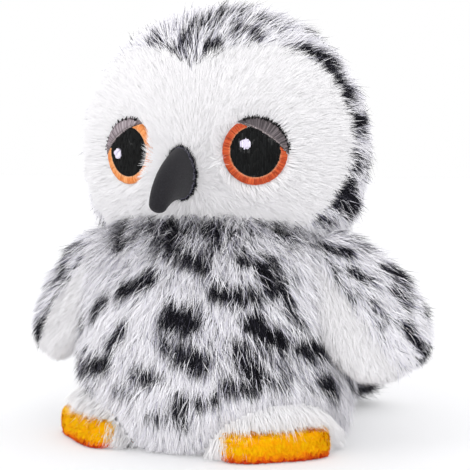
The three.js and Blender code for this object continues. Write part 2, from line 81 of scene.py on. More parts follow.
camera_data = bpy.data.cameras.new("camera")
camera_data.sensor_width = SENSOR_WIDTH
camera_data.lens = SENSOR_WIDTH * FOCAL_PIXELS / PICTURE_WIDTH
camera = in_scene("camera", camera_data)
camera.location = (
    CAMERA_DISTANCE * math.sin(CAMERA_TURN),
    -CAMERA_DISTANCE * math.cos(CAMERA_TURN),
    CAMERA_HEIGHT,
)
camera.rotation_euler = aimed(camera.location, CAMERA_AIM)
bpy.context.scene.camera = camera
bpy.context.scene.view_settings.view_transform = "Standard"
print("lens, mm:", round(camera_data.lens, 1))

# %% [markdown]
# ## Colours and nodes
#
# Colours are written as they look on a screen and turned to the linear values that a shader takes.
# One helper adds a node, sets what it is told and links what it is given, so a material reads as a
# short list of steps. Its second half is a helper of its own, which also feeds the surface shader that
# each material has from the start.


# %% Colours and nodes
def linear(colour):
    """An sRGB hex colour as linear red, green, blue and 1. Each channel c becomes c / 12.92 when it is
    small, and otherwise ((c + 0.055) / 1.055) to the power 2.4."""
    channels = [int(colour[i : i + 2], 16) / 255 for i in (1, 3, 5)]
    return [c / 12.92 if c < 0.04045 else ((c + 0.055) / 1.055) ** 2.4 for c in channels] + [1]


def feed(tree, made, **inputs):
    """Gives a node its inputs. Each is named by its socket, with spaces as underscores, or by its number
    after an underscore, and is a value or another node's output."""
    for name, value in inputs.items():
        socket = made.inputs[int(name[1:]) if name[1:].isdigit() else name.replace("_", " ")]
        if isinstance(value, bpy.types.NodeSocket):
            tree.links.new(value, socket)
        else:
            socket.default_value = value


def node(tree, kind, settings=None, **inputs):
    """Adds a node, sets its own properties and gives it its inputs."""
    made = tree.nodes.new(kind)
    for name, value in (settings or {}).items():
        setattr(made, name, value)
    feed(tree, made, **inputs)
    return made


def stops(ramp, colours):
    """Gives a colour ramp its stops: a list of places from 0 to 1 with a hex colour each."""
    elements = ramp.color_ramp.elements
    while len(elements) < len(colours):
        elements.new(0.5)
    for element, (place, colour) in zip(elements, colours):
        element.position = place
        element.color = linear(colour)
    return ramp.outputs["Color"]


def new_material(name):
    """A new material, its tree and its surface shader, ready for more nodes."""
    material = bpy.data.materials.new(name)
    material.use_nodes = True
    tree = material.node_tree
    return material, tree, tree.nodes["Principled BSDF"]


print("mid grey as linear:", round(linear("#808080")[0], 3))

# %% [markdown]
# ## Pile
#
# Plush is a knitted cloth with a pile of acrylic hairs, each about 0.05 mm thick. The hairs are matte and
# cling together at their ends. A single one would be finer than a pixel, so a strand here stands for a few
# that cling together and is 0.12 to 0.16 mm wide. The hairs are white, and the black was dyed on from
# their ends, so a dark hair fades to lavender grey towards its root. A strand's map runs from 0 to 1
# across by its tone and from 0 to 1 up from root to tip, and the colour follows from those two numbers.


# %% Pile materials
def map_parts(tree):
    """The outputs X and Y: the two numbers of a piece's own map."""
    place = node(tree, "ShaderNodeUVMap", {"uv_map": "OFBake"})
    return node(tree, "ShaderNodeSeparateXYZ", Vector=place.outputs["UV"]).outputs


def pile_material(name, tones, root_share):
    """Matte hair, so it is rough and reflects little. The tone from the map is weakened near the root,
    where the dye didn't reach: it is multiplied by root_share there and by 1 from the middle up. A ramp
    turns it into a colour."""
    material, tree, shader = new_material(name)
    part = map_parts(tree)
    reach = node(tree, "ShaderNodeMapRange", {"interpolation_type": "SMOOTHSTEP"}, Value=part["Y"],
                 From_Min=0.05, From_Max=0.6, To_Min=root_share, To_Max=1.0)
    tone = node(tree, "ShaderNodeMath", {"operation": "MULTIPLY"}, _0=part["X"], _1=reach.outputs["Result"])
    ramp = node(tree, "ShaderNodeValToRGB", Fac=tone.outputs["Value"])
    feed(tree, shader, Base_Color=stops(ramp, tones), Roughness=0.9, Specular_IOR_Level=0.12)
    return material


PILES = {
    "spotted_plush": pile_material(
        "acrylic_pile_white_dyed_black",
        [(0, "#FEFDFF"), (0.2, "#E2E0EC"), (0.45, "#9391A4"), (0.7, "#2B2A33"), (1, "#060608")],
        root_share=0.55,
    ),
    "white_plush": pile_material(
        "acrylic_pile_white", [(0, "#FBFAFB"), (0.5, "#EFEDF2"), (1, "#D9D6E0")], root_share=0.8
    ),
    # The ramp's orange and red end is reached where the feet are given painted shade.
    "orange_plush": pile_material(
        "polyester_nap_orange",
        [(0, "#FFCE00"), (0.35, "#FFAF02"), (0.65, "#F97F12"), (0.85, "#EA4C18"), (1, "#D12D08")],
        root_share=1.0,
    ),
}
print("pile materials:", [material.name for material in PILES.values()])

# %% [markdown]
# ## Surfaces, skins and strands
#
# Each form is a function of two parameters, worked out on a grid. The grid gives the cloth of the panel
# itself, called its skin here, and the places where strands grow. A strand is a ribbon of one
# four-sided step and a pointed end. It leaves the skin at its rise, bends over along the lie of the
# pile, and is drawn towards the middle of its lock.


# %% Grids and skins
def superellipse(turn, half_wide, half_deep, power):
    """A ring: each of cosine and sine keeps its sign and is raised to 2 / power, then scaled. A power
    of 2 is an ellipse and more is squarer."""
    c, s = np.cos(turn), np.sin(turn)
    return (
        half_wide * np.sign(c) * np.abs(c) ** (2 / power),
        half_deep * np.sign(s) * np.abs(s) ** (2 / power),
    )


def unit(vectors):
    """Vectors divided by their own lengths."""
    return vectors / np.maximum(np.linalg.norm(vectors, axis=-1, keepdims=True), 1e-9)


def flattened(vectors, normals):
    """Vectors without their share along the normals: v - (v . n) n."""
    return vectors - (vectors * normals).sum(1, keepdims=True) * normals


def turned(start, end, angle):
    """Start turned by an angle towards end, which is square to it: start cos(angle) + end sin(angle)."""
    return start * np.cos(angle)[:, None] + end * np.sin(angle)[:, None]


def cells(grid):
    """Middle, outward normal and area of each cell of a grid, and whether its corners, taken in order,
    turn anticlockwise from outside. The normal is the cross product of the two diagonals."""
    a, b, c, d = grid[:-1, :-1], grid[1:, :-1], grid[1:, 1:], grid[:-1, 1:]
    cross = np.cross(c - a, d - b)
    middle = (a + b + c + d) / 4
    away = middle - middle.reshape(-1, 3).mean(0)
    outwards = (cross * away).sum() > 0
    return middle, unit(cross) * (1 if outwards else -1), np.linalg.norm(cross, axis=2) / 2, outwards


def skin(grid, keep=None):
    """Points and triangles of a grid's cells, or of those whose middles are kept. Points that meet are
    one."""
    middle, _, _, outwards = cells(grid)
    shape = grid.shape[:2]
    points, index = np.unique(np.round(grid.reshape(-1, 3), 4), axis=0, return_inverse=True)
    index = index.reshape(shape)
    corners = np.stack([index[:-1, :-1], index[1:, :-1], index[1:, 1:], index[:-1, 1:]], -1)
    corners = corners.reshape(-1, 4)
    if keep is not None:
        corners = corners[keep(middle.reshape(-1, 3))]
    if not outwards:
        corners = corners[:, ::-1]
    triangles = np.concatenate([corners[:, [0, 1, 2]], corners[:, [0, 2, 3]]])
    a, b, c = triangles.T
    triangles = triangles[(a != b) & (b != c) & (c != a)]
    used, triangles = np.unique(triangles, return_inverse=True)
    return points[used], triangles.reshape(-1, 3)


def skin_normals(points, triangles):
    """Each point's normal: the sum of its triangles' cross products, made one long."""
    a, b, c = (points[triangles[:, i]] for i in range(3))
    cross = np.cross(b - a, c - a)
    total = np.zeros_like(points)
    for i in range(3):
        np.add.at(total, triangles[:, i], cross)
    return unit(total)


def scatter(grid, per_square_mm, seed):
    """Random places on a grid, equally dense per square millimetre, with their normals. A cell is
    picked with a chance equal to its share of the area, and a place in it by two more chances."""
    chance = np.random.default_rng(seed)
    _, normal, area, _ = cells(grid)
    count = int(area.sum() * per_square_mm)
    pick = chance.choice(area.size, count, p=(area / area.sum()).ravel())
    i, j = np.unravel_index(pick, area.shape)
    u, v = chance.random((2, count, 1))
    low = grid[i, j] * (1 - v) + grid[i, j + 1] * v
    high = grid[i + 1, j] * (1 - v) + grid[i + 1, j + 1] * v
    return low * (1 - u) + high * u, normal[i, j]


print("a ring's first point:", [round(float(v), 2) for v in superellipse(0.0, 3, 2, 2)])


# %% Locks
LOCK_TABLE = np.random.default_rng(11).random((4096, 6))
LOCK_SIZE, TUFT_SIZE = 1.5, 4.2  # mm from one lock to the next, and from one tuft of locks to the next
TONE_SIZE = 1.3  # mm between groups of strands that tend to be dark together


def locks(points, size):
    """The lock that each point belongs to. Space is cut into cubes with one random point in each, and
    the nearest of the 27 around a strand is the middle of its lock. Gives that point and three chances
    that all strands of the lock share."""
    cube = np.floor(points / size).astype(np.int64)
    nearest = np.full(len(points), np.inf)
    middle = np.zeros_like(points)
    shared = np.zeros((len(points), 3))
    for step in itertools.product((-1, 0, 1), repeat=3):
        other = cube + step
        key = (other[:, 0] * 73856093) ^ (other[:, 1] * 19349663) ^ (other[:, 2] * 83492791)
        row = LOCK_TABLE[key % len(LOCK_TABLE)]
        place = (other + row[:, :3]) * size
        distance = np.linalg.norm(points - place, axis=1)
        closer = distance < nearest
        nearest[closer] = distance[closer]
        middle[closer] = place[closer]
        shared[closer] = row[closer, 3:]
    return middle, shared


print("middle of the lock at the origin, mm:", np.round(locks(np.zeros((1, 3)), LOCK_SIZE)[0][0], 2))


# %% Strands
def strands(roots, normals, lie, length, rise, seed, droop=25, width=0.16, pull=0.45, swing=20, stray=15,
            soft=0.7, roll=45):
    """Ribbons as an array of five points each: two at the root, two half way and the tip, and the
    normals that they are lit by. Rise, droop, swing, stray and roll are in degrees: how steeply a strand
    leaves the skin, how far it bends over, how far a lock turns aside, how far a single strand does, and
    how far it is rolled about itself. Pull is how far its tip is drawn to the middle of the lock, and
    soft how much a strand that lies flat is lit like the cloth below it, both from 0 to 1. The turn and
    the lift are partly the tuft's, partly the lock's and partly the strand's own, and the length is
    partly the lock's and partly the strand's own."""
    chance = np.random.default_rng(seed)
    count = len(roots)
    lock, of_lock = locks(roots, LOCK_SIZE)
    tuft, of_tuft = locks(roots, TUFT_SIZE)
    along = unit(flattened(lie, normals))
    turn = np.radians(swing) * (1.3 * (of_tuft[:, 0] - 0.5) + 1.1 * (of_lock[:, 0] - 0.5))
    turn = turn + np.radians(stray) * chance.standard_normal(count)
    heading = turned(along, np.cross(normals, along), turn)
    lift = np.radians(rise + 14 * (of_lock[:, 1] - 0.5) + 10 * (of_tuft[:, 1] - 0.5))
    lift = lift + np.radians(8) * chance.standard_normal(count)
    reach = length * (0.86 + 0.28 * of_lock[:, 2]) * (0.82 + 0.3 * chance.random(count))
    first, second = turned(heading, normals, lift), turned(heading, normals, lift - np.radians(droop))
    middle = roots + first * (reach / 2)[:, None]
    tip = middle + second * (reach / 2)[:, None]
    for centre, share in ((lock, pull), (tuft, pull * 0.3)):
        offset = flattened(roots - centre, normals)
        tip = tip - share * offset
        middle = middle - 0.45 * share * offset
    side = unit(np.cross(heading, normals))
    side = turned(side, np.cross(first, side), np.radians(roll) * (2 * chance.random(count) - 1))
    edge = side * ((width / 2) * (0.75 + 0.5 * chance.random(count))[:, None])
    narrow = 0.85 * edge
    points = np.stack([roots - edge, roots + edge, middle - narrow, middle + narrow, tip], axis=1)
    own = unit(np.cross(side, first + second))
    like_cloth = (soft * np.clip((own * normals).sum(1), 0, 1))[:, None]
    lit = unit(like_cloth * normals + (1 - like_cloth) * own)
    return points, np.repeat(lit[:, None], 5, axis=1)


def ribbon_triangles(count, start=0):
    """Three triangles for each strand's five points, which are counted from the start."""
    first = start + 5 * np.arange(count)[:, None]
    return np.concatenate([first + [0, 1, 3], first + [0, 3, 2], first + [2, 3, 4]])


TONE_STEPS = 24


def strand_map(tones):
    """The map of five points of each strand. Tones are cut into steps, so that a strand covers one
    narrow column of the map: its left and right edges are the column's, and its tip the middle."""
    column = np.clip(np.floor(tones * TONE_STEPS), 0, TONE_STEPS - 1)
    left, right, middle = ((column + share) / TONE_STEPS for share in (0.06, 0.94, 0.5))
    across = np.stack([left, right, left, right, middle], axis=1)
    up = np.broadcast_to([0.02, 0.02, 0.5, 0.5, 0.98], across.shape)
    return np.stack([across, up], axis=2)


print("triangles of two strands:", ribbon_triangles(2).tolist())


# %% Meshes
LOWEST = 0.15  # mm above the floor, where the lowest strands are stopped


def mesh_piece(name, points, triangles, material, where=None, normals=None):
    """A mesh object from arrays in millimetres, with its place in its mesh. It may have a map and
    normals, both given by point."""
    mesh = bpy.data.meshes.new(name)
    mesh.vertices.add(len(points))
    mesh.vertices.foreach_set("co", (points * 0.001).astype(np.float32).ravel())
    mesh.loops.add(triangles.size)
    mesh.loops.foreach_set("vertex_index", triangles.astype(np.int32).ravel())
    mesh.polygons.add(len(triangles))
    mesh.polygons.foreach_set("loop_start", np.arange(0, triangles.size, 3, dtype=np.int32))
    mesh.polygons.foreach_set("use_smooth", np.ones(len(triangles), dtype=bool))
    mesh.update(calc_edges=True)
    if where is not None:
        layer = mesh.uv_layers.new(name="OFBake")
        layer.data.foreach_set("uv", where[triangles.ravel()].astype(np.float32).ravel())
    if normals is not None:
        mesh.normals_split_custom_set_from_vertices(normals.astype(np.float32))
    mesh.materials.append(material)
    return in_scene(name, mesh)


def plush(name, cloth, pile, material, tones):
    """One panel of plush: its skin and its strands in one mesh. Cloth is points and triangles, pile is
    points and normals of strands, and tones are the skin's and the strands'."""
    skin_points, skin_triangles = cloth
    pile_points, pile_normals = pile
    skin_tones, pile_tones = tones
    count = len(pile_points)
    triangles = np.concatenate([skin_triangles, ribbon_triangles(count, len(skin_points))])
    points = np.concatenate([skin_points, pile_points.reshape(-1, 3)])
    points[:, 2] = np.maximum(points[:, 2], LOWEST)
    normals = np.concatenate([skin_normals(skin_points, skin_triangles), pile_normals.reshape(-1, 3)])
    skin_map = np.stack([np.clip(skin_tones, 0.01, 0.99), np.full(len(skin_points), 0.03)], axis=1)
    where = np.concatenate([skin_map, strand_map(pile_tones).reshape(-1, 2)])
    print(name, "strands:", count, "triangles:", len(triangles))
    return mesh_piece(name, points, triangles, material, where, normals)


print("lowest strand, mm above the floor:", LOWEST)


# %% [markdown]
# ## Black patches
#
# The plush is printed with short black strokes. Each stroke here is a line between two points on the
# pile, with its half width and its strength. Strands near it are dark by chance, more of them the nearer
# they are, so a patch has a streaky edge. The strokes on the front were placed from the picture. Those
# on the sides that it doesn't show are spread by chance, never closer than a set distance.


# %% Black patches
def nearness(points, strokes):
    """From 0 to 1: the strength of the nearest stroke, falling off smoothly from 0.4 to 2.1 of its
    half width, by 3 f^2 - 2 f^3."""
    most = np.zeros(len(points))
    for stroke in np.atleast_2d(strokes):
        a, b, half, strength = np.array(stroke[:3]), np.array(stroke[3:6]), stroke[6], stroke[7]
        line = b - a
        t = np.clip((points - a) @ line / max(line @ line, 1e-6), 0, 1)
        away = np.linalg.norm(points - a - t[:, None] * line, axis=1) / half
        fall = np.clip((2.1 - away) / 1.7, 0, 1)
        most = np.maximum(most, strength * fall * fall * (3 - 2 * fall))
    return most


def dyed(points, strokes, seed):
    """Tones of strands whose outer parts are at the points. A strand is dark when its chance, partly
    its lock's, is under 0.9 of the nearness, and so are a few anywhere. Otherwise it is white, or
    lavender grey for a share of them that grows near a patch. Dark tones are deepest in its middle."""
    chance = np.random.default_rng(seed)
    _, shared = locks(points, TONE_SIZE)
    mixed = 0.55 * shared[:, 0] + 0.45 * chance.random(len(points))
    near = nearness(points, strokes)
    dark = (mixed < near * 0.9) | (chance.random(len(points)) < 0.012)
    light = np.where(chance.random(len(points)) < 0.07 + 0.6 * near, 0.5, 0.07) * chance.random(len(points))
    depth = 0.6 + 0.4 * chance.random(len(points)) ** (1.2 - 0.8 * near)
    return np.where(dark, depth, light)


STROKE_HALVES, STROKE_LENGTHS = (1.4, 2.2), (3, 8)  # mm, the least and the most
STROKE_HEIGHT = 3.0  # mm from a grid out to the pile's outer part


def spread_strokes(grid, lie_at, spacing, seed, keep):
    """Strokes spread over a surface by chance: candidates are taken one by one and kept where no kept
    one is nearer than the spacing. Each runs roughly across the lie."""
    chance = np.random.default_rng(seed)
    points, normals = scatter(grid, 0.5, seed)
    fits = keep(points, normals)
    points, normals = points[fits], normals[fits]
    kept = []
    for i in chance.permutation(len(points)):
        if all(np.linalg.norm(points[i] - points[k]) > spacing for k in kept):
            kept.append(i)
    places, outward = points[kept], normals[kept]
    along = unit(flattened(lie_at(places), outward))
    line = turned(np.cross(outward, along), along, np.radians(35) * chance.standard_normal(len(kept)))
    reach = chance.uniform(*STROKE_LENGTHS, len(kept))[:, None] / 2
    halves = chance.uniform(*STROKE_HALVES, len(kept))
    out = STROKE_HEIGHT * outward
    return [(*(p - l + o), *(p + l + o), h, 1.0) for p, l, o, h in zip(places, line * reach, out, halves)]


def wider(strokes, times, least):
    """The same strokes with their half widths multiplied, and no narrower than the least."""
    return [(*row[:6], max(row[6] * times, least), row[7]) for row in strokes]


TO_CAMERA = np.array([math.sin(CAMERA_TURN), -math.cos(CAMERA_TURN), 0.1])


def hidden(normals):
    """True where the surface faces away from the camera, or is seen very nearly edge on."""
    return normals @ TO_CAMERA < 0.12


print("a patch's nearness at its middle:", nearness(np.zeros((1, 3)), [(0, 0, 0, 1, 0, 0, 2, 1)]))


# %% [markdown]
# ## Head
#
# The head is a ball of plush round loose stuffing. One formula gives it: an ellipsoid above its middle,
# and a squarer form below it, for full cheeks. It is turned a little towards the owl's left. The face
# is the part of it inside a heart, drawn by curves as seen from the front. A point of the head belongs
# to the face when the line from the head's middle through it leaves the head inside that heart.

# %% Head form
HEAD_RADII = np.array([35.3, 27.2, 32.8])
HEAD_CENTRE = np.array([0.0, -0.4, 69.2])
HEAD_TURN = math.radians(5)
CHEEK_POWER = 2.4
MEAN_RADIUS = 31
SPOTTED_PILE, WHITE_PILE = 3.6, 2.6  # depth of the cloth below the middle of the pile
FAR = 99.0  # mm, the distance given for a place that is nowhere near


def turn_head(points, back=False):
    """Points turned about the upright line through the head's middle, or turned back."""
    c, s = math.cos(HEAD_TURN), math.sin(HEAD_TURN) * (-1 if back else 1)
    x, y = points[..., 0] - HEAD_CENTRE[0], points[..., 1] - HEAD_CENTRE[1]
    return np.stack([c * x - s * y, s * x + c * y + HEAD_CENTRE[1], points[..., 2]], axis=-1)


def head_grid(inset, rows=72, columns=120):
    """Rings by rise and turn. A ring's share of the flat radii is the cosine of its rise, and its height
    the sine, both to the power 2 / p, where p is 2 above the middle and the cheeks' power below it."""
    rise, turn = np.meshgrid(np.linspace(-np.pi / 2, np.pi / 2, rows), np.linspace(0, 2 * np.pi, columns),
                             indexing="ij")
    power = 2 / np.where(rise < 0, CHEEK_POWER, 2.0)
    level = np.maximum(np.cos(rise), 0) ** power
    height = np.sign(rise) * np.abs(np.sin(rise)) ** power
    ball = np.stack([level * np.cos(turn), level * np.sin(turn), height], axis=-1)
    return turn_head(HEAD_CENTRE + ball * (HEAD_RADII - inset))


def head_share(away, radii):
    """How far out an offset from the head's middle is, where 1 is on the form. It is the root of order p
    of r^p + z^p, with r and z the level and upright offsets over their radii."""
    level = np.hypot(away[..., 0] / radii[..., 0], away[..., 1] / radii[..., 1])
    height = away[..., 2] / radii[..., 2]
    power = np.where(height < 0, CHEEK_POWER, 2.0)
    return (level**power + np.abs(height) ** power) ** (1 / power)


def head_gap(points):
    """About how far a point stands outside the head, in mm."""
    return (head_share(turn_head(points, back=True) - HEAD_CENTRE, HEAD_RADII) - 1) * MEAN_RADIUS


def inside_head(points, grow=0.0):
    """True inside the head's form, grown by some mm."""
    return head_share(turn_head(points, back=True) - HEAD_CENTRE, HEAD_RADII + grow) < 1


def heart_outline():
    """Half of the heart, from the point between its lobes down to the chin, as three cubic curves."""
    half, lobe, top, peak, chin, widest = 33.3, 15.0, 91.3, 85.0, 43.0, 69.0
    bow, drop = half - lobe, widest - chin
    curves = np.array([
        [(0, peak), (lobe / 5, (peak + top) / 2), (lobe / 2, top), (lobe, top)],
        [(lobe, top), (lobe + bow * 0.6, top), (half, (top + widest) / 2), (half, widest)],
        [(half, widest), (half, widest - drop * 0.6), (half / 2, chin), (0, chin)],
    ])
    t = np.linspace(0, 1, 30)[:, None]
    weights = [(1 - t) ** 3, 3 * (1 - t) ** 2 * t, 3 * (1 - t) * t**2, t**3]
    return np.concatenate([sum(w * point for w, point in zip(weights, curve)) for curve in curves])


HEART_MIDDLE = 66.0
outline = heart_outline() - [0, HEART_MIDDLE]
heart_angles, heart_reach = np.arctan2(outline[:, 0], outline[:, 1]), np.hypot(*outline.T)


def past_seam(points):
    """How far outside the heart a point of the head stands, in mm, and negative inside it."""
    away = turn_head(points, back=True) - HEAD_CENTRE
    away = away / np.maximum(head_share(away, HEAD_RADII), 1e-6)[..., None]
    rise = away[..., 2] + HEAD_CENTRE[2] - HEART_MIDDLE
    edge = np.interp(np.arctan2(np.abs(away[..., 0]), rise), heart_angles, heart_reach)
    return np.where(away[..., 1] < 0, np.hypot(away[..., 0], rise) - edge, FAR)


def fade(gap, reach):
    """1 where the gap is 0 or less, and smaller by the factor e for each reach beyond, as far as 40 mm."""
    return np.exp(-np.clip(gap, 0, 40) / reach)


print("the heart's half outline turns steadily:", bool((np.diff(heart_angles) >= -1e-6).all()))

# %% [markdown]
# ## Eyes' and beak's places
#
# The pile is clipped short where an eye is embroidered, and parts round it. So the strands need to know
# how far they are from each eye and from the beak's root. An eye has its own flat frame that touches the
# head, and its distance is measured there from an ellipse.

# %% Places of the eyes and the beak
EYE_SIZE = np.array([14.6, 14.8])
EYE_DEPTH = 1.0
EYE_HEIGHT, EYE_TURN = 67.4, math.radians(33.5)
BEAK_ASIDE, BEAK_HEIGHT = -1.0, 62.3
BEAK_HALVES = np.array([3.1, 5.4])


def eye_frame(side):
    """Middle of an eye on the head's form before the turn, with its across, up and outward
    directions."""
    radii = HEAD_RADII - EYE_DEPTH
    rise = (EYE_HEIGHT - HEAD_CENTRE[2]) / radii[2]
    s, c = math.sin(EYE_TURN), math.cos(EYE_TURN)
    reach = math.sqrt(1 - rise**2) / math.hypot(s / radii[0], c / radii[1])
    spot = np.array([side * reach * s, -reach * c, rise * radii[2]])
    normal = unit(spot / radii**2)
    across = unit(np.cross([0, 0, 1], normal))
    return spot + HEAD_CENTRE, across, np.cross(normal, across), normal


def eye_distance(points):
    """Distance to the nearer eye's edge in mm, and the direction away from that eye."""
    flat = turn_head(points, back=True)
    best, away = np.full(len(points), FAR), np.zeros((len(points), 3))
    for side in (1, -1):
        middle, across, up, normal = eye_frame(side)
        x, y = (flat - middle) @ across, (flat - middle) @ up
        over = (np.hypot(x / EYE_SIZE[0], y / EYE_SIZE[1]) * 2 - 1) * EYE_SIZE.mean() / 2
        over = np.where((flat - middle) @ normal > -6, over, FAR)
        closer = over < best
        best[closer] = over[closer]
        away[closer] = (x[:, None] * across + y[:, None] * up)[closer]
    return best, turn_head(unit(away) + HEAD_CENTRE) - HEAD_CENTRE


def beak_distance(points):
    """About how far a point is outside the ellipse where the beak meets the face, in mm."""
    flat = turn_head(points, back=True)
    x, z = (flat[:, 0] - BEAK_ASIDE) / BEAK_HALVES[0], (flat[:, 2] - BEAK_HEIGHT) / BEAK_HALVES[1]
    return np.where(flat[:, 1] < -10, (np.hypot(x, z) - 1) * 4.0, FAR)


print("left eye's middle, mm:", np.round(eye_frame(1)[0], 1))

# %% [markdown]
# ## Body, legs and other forms
#
# The body is a stack of rings, each squarer than an ellipse, widest at the belly. The legs are white
# panels let into its lower front corners. Wings and tail are stuffed lobes: flat bags that swell from a
# narrow root and round off at the end. The body, the head and the wings also need a test of whether a
# point lies in them, because pile is pressed short where two of them rest on each other.


# %% Body and leg forms
BELLY_HALVES, BASE_HALVES = np.array([34.0, 30.5]), np.array([32.5, 27.0])
BELLY_HEIGHT, BODY_TOP = 19, 60
TAPER_POWER, RING_POWER = 2.7, 2.15
LEG_PLACE, LEG_RADII, LEG_MEAN = (22, -21), (16.5, 16, 12.5), 14


def body_halves(height, inset):
    """Half width and half depth at a height. Above the belly they taper by a curve like an ellipse of a
    higher power, and below it they shrink towards the base by a square, with the lowest 5 mm rounded
    in by 2.5 mm."""
    z = np.maximum(height, 0)
    up = np.clip((z - BELLY_HEIGHT) / (BODY_TOP - BELLY_HEIGHT), 0, 1)[..., None]
    down = (np.clip((BELLY_HEIGHT - z) / BELLY_HEIGHT, 0, 1) ** 2)[..., None]
    edge = 2.5 * (1 - np.sqrt(1 - np.clip(1 - z / 5, 0, 1) ** 2))[..., None]
    taper = (1 - up**TAPER_POWER) ** (1 / TAPER_POWER)
    return BELLY_HALVES * taper + (BASE_HALVES - BELLY_HALVES) * down - edge - inset


def body_middle(height):
    """How far back the middle of a ring is: from -6 mm at the base evenly to -3 mm at the top."""
    return -6 + 3 * np.clip(height / BODY_TOP, 0, 1)


def body_grid(inset, rows=84, columns=160):
    """Rings from the base up to inside the head."""
    share = np.linspace(0, 1, rows)
    height = (BODY_TOP - 1 - inset) * share**1.15
    half = np.maximum(body_halves(height + inset * share, inset), 1)
    turn = np.linspace(0, 2 * np.pi, columns)
    x, y = superellipse(turn[None], half[:, :1], half[:, 1:], RING_POWER)
    z = np.broadcast_to(height[:, None], x.shape)
    return np.stack([x, y + body_middle(z), z], axis=-1)


def inside_body(points, grow=0.0):
    """True inside the body's form, grown by some mm: |x|^p + |y|^p is less than 1, in half sizes."""
    half = np.maximum(body_halves(points[:, 2], -grow), 0.5)
    x, y = points[:, 0] / half[:, 0], (points[:, 1] - body_middle(points[:, 2])) / half[:, 1]
    return (np.abs(x) ** RING_POWER + np.abs(y) ** RING_POWER < 1) & (points[:, 2] < BODY_TOP)


def leg_distance(points, side):
    """About how far a point is outside the ellipsoid that cuts a leg panel from the body, in mm."""
    away = (points - [side * LEG_PLACE[0], LEG_PLACE[1], 0]) / LEG_RADII
    return (np.sqrt((away**2).sum(1)) - 1) * LEG_MEAN


print("body's half sizes at the belly, mm:", body_halves(np.array([BELLY_HEIGHT]), 0)[0])


# %% Lobes for the wings and the tail
LOBE_POWER = 2.1  # of the rings across a lobe


def lobe_rings(along, size, inset):
    """Length along, half width and half thickness of a lobe at each share of its length. The swell is
    the root of order q of 1 - |2 t^b - 1|^q, where b puts the widest place at the peak."""
    bend = math.log(0.5) / math.log(size["peak"])
    inner = np.clip(1 - np.abs(2 * along**bend - 1) ** size["square"], 0, None)
    swell = inner ** (1 / size["square"])
    half_wide = (size["width"] / 2 - inset) * swell
    half_thick = (size["thickness"] / 2 - inset) * swell**0.8
    return inset + (size["length"] - 2 * inset) * along, half_wide, half_thick


def lobe_grid(size, inset, rows=60, columns=72):
    """A closed lobe in its own frame: rings closer together at both ends."""
    along = (1 - np.cos(np.linspace(0, np.pi, rows))) / 2
    reach, half_wide, half_thick = lobe_rings(along, size, inset)
    turn = np.linspace(0, 2 * np.pi, columns)
    wide, thick = superellipse(turn[None], half_wide[:, None], half_thick[:, None], LOBE_POWER)
    return np.stack([np.broadcast_to(reach[:, None], wide.shape), wide, thick], axis=-1)


WING = {"length": 40, "width": 27, "thickness": 13, "peak": 0.64, "square": 2.4}
TAIL = {"length": 27, "width": 53, "thickness": 10, "peak": 0.6, "square": 3.2}
WING_ROOT = (25.7, -7.5, 50.0)
WING_SLOPE, WING_TURN = math.radians(33), math.radians(35)
WING_SEAM, SHOULDER_COVER = 0.7, 3.5  # how far out the seam lies, and how much the shoulder's pile covers
TAIL_ROOT_WIDTH, TAIL_BACK, TAIL_HEIGHT, TAIL_END_HEIGHT = 30, 19, 11, 5.6


def wing_frame(side):
    """Origin and the along, across and outward directions of a wing."""
    along = np.array([side * math.sin(WING_SLOPE), 0, -math.cos(WING_SLOPE)])
    level = np.array([side * math.cos(WING_TURN), math.sin(WING_TURN), 0])
    across = unit(level - (level @ along) * along)
    root = np.array([side * WING_ROOT[0], *WING_ROOT[1:]])
    return root, np.stack([along, across, np.cross(along, across)])


def wing_grid(side, inset):
    """The lobe's points as shares of the wing's three directions, added to its origin."""
    origin, directions = wing_frame(side)
    return origin + lobe_grid(WING, inset) @ directions


def inside_wing(points, side, grow=0.0):
    """True inside a wing's form, grown by some mm: |w|^p + |t|^p is less than 1, in half sizes."""
    origin, directions = wing_frame(side)
    local = (points - origin) @ directions.T
    along = np.clip((local[:, 0] + grow) / (WING["length"] + 2 * grow), 0, 1)
    _, wide, thick = lobe_rings(along, WING, -grow)
    w, t = np.abs(local[:, 1] / np.maximum(wide, 0.1)), np.abs(local[:, 2] / np.maximum(thick, 0.1))
    return w**LOBE_POWER + t**LOBE_POWER < 1


def wing_outside(points, side):
    """How far a point stands on the outer side of the seam round a wing's edge, in mm. At the shoulder
    the spotted pile is brushed over the seam."""
    origin, (along, _, _) = wing_frame(side)
    normal = np.array([side * math.cos(WING_SLOPE), 0, math.sin(WING_SLOPE)])
    shoulder = np.clip(1 - (points - origin) @ along / (WING["length"] / 2), 0, 1)
    return (points - origin) @ normal - WING_SEAM + SHOULDER_COVER * shoulder


def tail_grid(inset):
    """The lobe made narrower towards its root, then tipped down and laid behind the body."""
    grid = lobe_grid(TAIL, inset)
    narrow = TAIL_ROOT_WIDTH / TAIL["width"]
    grid[..., 1] *= narrow + (1 - narrow) * np.clip(grid[..., 0] / (TAIL["length"] * 0.7), 0, 1)
    drop = math.asin((TAIL_HEIGHT - TAIL_END_HEIGHT) / TAIL["length"])
    c, s = math.cos(drop), math.sin(drop)
    x, a, b = grid[..., 0], grid[..., 1], grid[..., 2]
    height = np.maximum(TAIL_HEIGHT - x * s + b * c, 0.5 + inset)
    return np.stack([-a, TAIL_BACK + x * c + b * s, height], axis=-1)


print("wing's far end, mm:", np.round(wing_grid(1, 0)[-1, 0], 1))

# %% [markdown]
# ## Lie of the pile
#
# Pile lies one way, set at the mill and by how each panel is cut. On the head it runs from the face
# backwards and outwards, on the body downwards, a little outwards at the sides, and on the wings towards
# their ends. The short pile of the face is brushed outwards, and away from each eye.


# %% Lie fields
BROW_POINT = turn_head(np.array([0.0, -27.0, 79.0]))
CHEEK_POINT = turn_head(np.array([0.0, -28.0, 60.0]))


